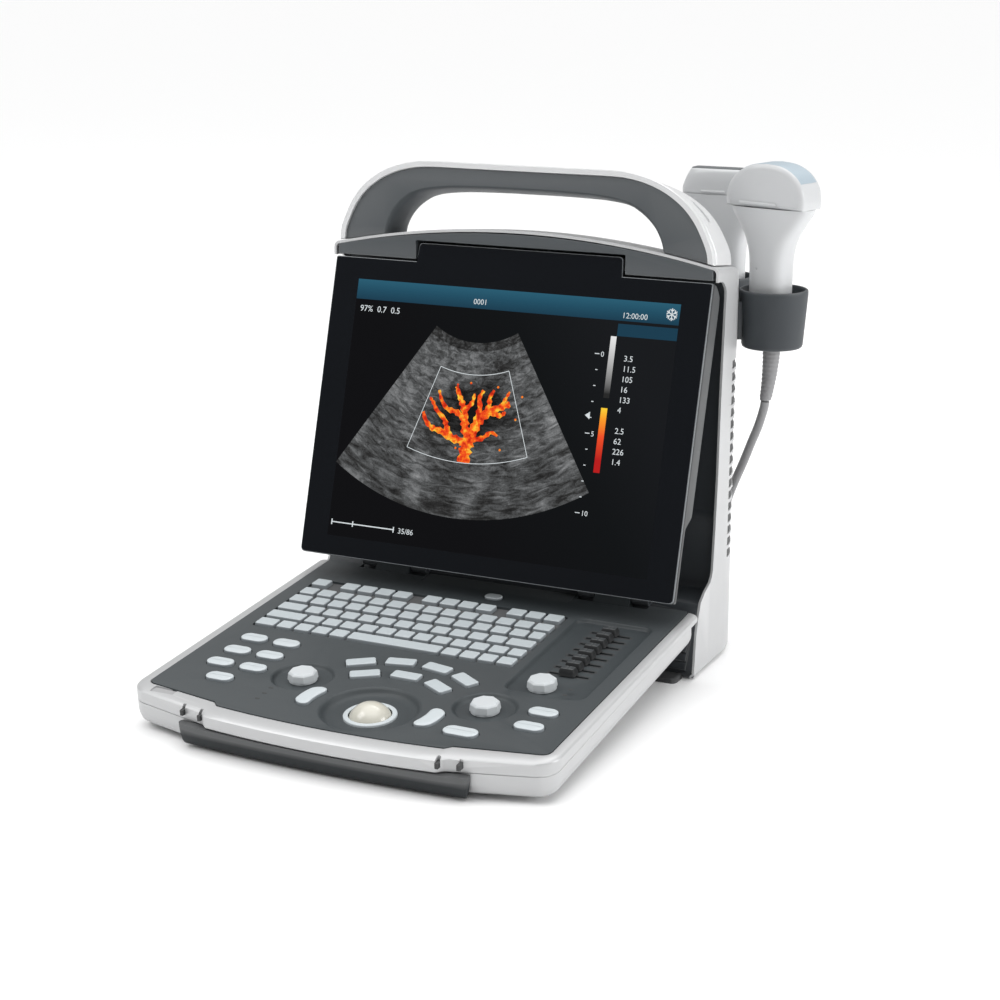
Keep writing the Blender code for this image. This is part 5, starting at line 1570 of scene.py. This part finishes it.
def makeProbes():
    x, y = cupCentre(cups["front"])
    head = probe["front"]
    spot = (x + head["shift"][0], y + head["shift"][1])
    shell = loftPiece("probeShell", probeRings(*spot, head["body"], head["turn"]))
    dimple = scannerFrame @ Matrix.Translation(Vector((*spot, 272)) * mm)
    dimple = dimple @ Matrix.Rotation(math.radians(head["turn"]), 4, "Z")
    dimple = dimple @ Matrix.Translation((0, 0, -272 * mm))
    combine(shell, block("dimple", circle(-4, 272, 0.9, 16), -14, -11.6, dimple, upright))
    finishPiece(shell, "curved_probe", probeWhite, ["probe_shell"], angle=50, weighted=False)
    turn = Matrix.Rotation(math.radians(head["turn"]), 4, "Z")
    place = scannerFrame @ Matrix.Translation(Vector((*spot, 0)) * mm) @ turn
    face = curveThrough(head["profile"], 5)
    face = [(-px, pz) for px, pz in face] + face[-2::-1]
    face = antiClockwise(face)
    rings = [upright(inset(face, d), side) for side, d in head["edge"]]
    nose = loftPiece("probeNose", rings, place)
    finishPiece(nose, "curved_probe", probeWhite, ["probe_nose"], angle=40)
    arc = [point for point in face if point[1] > head["lensFrom"]]
    strip = []
    for i, point in enumerate(arc):
        along = (Vector(arc[min(len(arc) - 1, i + 1)]) - Vector(arc[max(0, i - 1)])).normalized()
        out = Vector((along.y, -along.x))
        ring = []
        for side, lift in ((-9.9, -0.8), (-9.9, 0.05), (-9.4, 0.22), (9.4, 0.22), (9.9, 0.05), (9.9, -0.8)):
            ring.append((point[0] + out.x * lift, side, point[1] + out.y * lift))
        strip.append(ring)
    lens = loftPiece("probeLens", strip, place)
    finishPiece(lens, "curved_probe", probeLens, angle=50)
    shape = ((0, -13.4), (0, -13.9), (0.3, -14.2), (0.8, -14.3))
    rings = [
        upright(boxOutline(-4.3, 316.6, 30 - 2 * d, 2.2 - 1.6 * d, 0.9 - 0.9 * d), side)
        for d, side in shape
    ]
    mark = loftPiece("probeMark", rings, place)
    finishPiece(mark, "curved_probe", probeWhite, angle=45)
    x, y = cupCentre(cups["front"])
    rings = []
    for i in range(49):
        t = i / 48
        radius = 6.1 - 2.2 * t + (0.45 * (0.5 + 0.5 * math.cos(t * 26 * math.pi)) if 0.06 < t < 0.94 else 0)
        rings.append(
            level(circle(x + (156.8 - x) * t * t, y + (140.3 - y) * t * t, radius, 28), 217.2 - 39.2 * t)
        )
    relief = loftPiece("cableRelief", rings)
    finishPiece(relief, "curved_probe", cableGrey, ["cable_relief"], angle=50, weighted=False)
    x, y = cupCentre(cups["rear"])
    head = probe["rear"]
    shell = loftPiece("straightProbe", probeRings(x, y, head["body"], 0))
    nose = loftPiece("straightNose", probeRings(x, y, head["nose"], 0))
    rings = [
        upright(boxOutline(-4.3, 317.6, 18 - 2 * d, 1.8 - d, 0.5), side)
        for d, side in ((0, -12), (0, -13), (0.4, -13.3))
    ]
    place = scannerFrame @ Matrix.Translation(Vector((x, y, 0)) * mm)
    ridge = loftPiece("straightMark", rings, place)
    shell = joinPieces("straightProbe", [shell, nose, ridge])
    finishPiece(
        shell, "straight_probe", probeWhite, ["linear_probe"], angle=50, weighted=False
    )
    shape = ((0, 332.4), (0, 333.2), (0.3, 333.5), (0.9, 333.6))
    lens = softBox("straightLens", x, y, (46, 12), 2.0, shape, 0.0, scannerFrame)
    finishPiece(lens, "straight_probe", lensDark, angle=45)
    makeCup("frontCup", cups["front"], "front_probe_holder")
    makeCup("rearCup", cups["rear"], "rear_probe_holder")
    print("probes done")


def makeConnector():
    outline = boxOutline(-46, 84, 62, 44, 5)
    shape = ((0.6, 163.3), (0.1, 163.9), (0, 165), (0, 185.4), (0.5, 187.2), (2, 188.3), (5, 188.5))
    plug = loftPiece("probePlug", [upright(inset(outline, d), y) for d, y in shape])
    sleeve = [(4.0, 45.9), (4.3, 47), (6.0, 58), (6.2, 61), (6.2, 66)]
    combine(plug, loftPiece("sleeve", [level(circle(-46, 176, r, 32), z) for r, z in sleeve]), "UNION")
    ribs = [
        block("rib", boxOutline(side * 31 - 46, 84, 2.4, 30, 0.4), 168 + 4 * i, 169.6 + 4 * i, lay=upright)
        for side in (-1, 1)
        for i in range(4)
    ]
    combine(plug, joinPieces("ribs", ribs))
    bevel(plug, 0.4, 2, 45)
    finishPiece(plug, "scanner", darkPlastic, ["connector"], angle=38)
    outer, inner = boxOutline(-46, 80, 74, 54, 4), boxOutline(-46, 80, 64, 46, 3)
    rings = [
        upright(inner, 146), upright(inner, 160.35), upright(outer, 160.35), upright(outer, 162.3),
        upright(inset(outer, 0.7), 163)
    ]
    socket = loftPiece("probeSocket", rings)
    finishPiece(socket, "scanner", blackPlastic, ["probe_socket"], angle=38)
    print("connector done")


def paintInside():
    kept = {"main_board": boardGreen, "control_board": boardGreen, "power_supply": steelBright,
            "battery_pack": blackPlastic, "fan_frame": blackPlastic, "fan_rotor": capPlastic,
            "monitor_shaft": steelBright, "hinge_pin_left": steelBright, "hinge_pin_right": steelBright}
    for node, material in kept.items():
        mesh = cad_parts[node].data
        mesh.materials.clear()
        mesh.materials.append(material)
    print("inside painted")


makeStudio()
makeCable()
makeHousing()
makeFrontFrame()
makeBrow()
makeHandle()
makeMonitor()
makePicture()
makeCover()
makeRim()
makeGrip()
makeKeyboard()
makeButtons()
makeDials()
makeBall()
makeSliders()
makeProbes()
makeConnector()
paintInside()
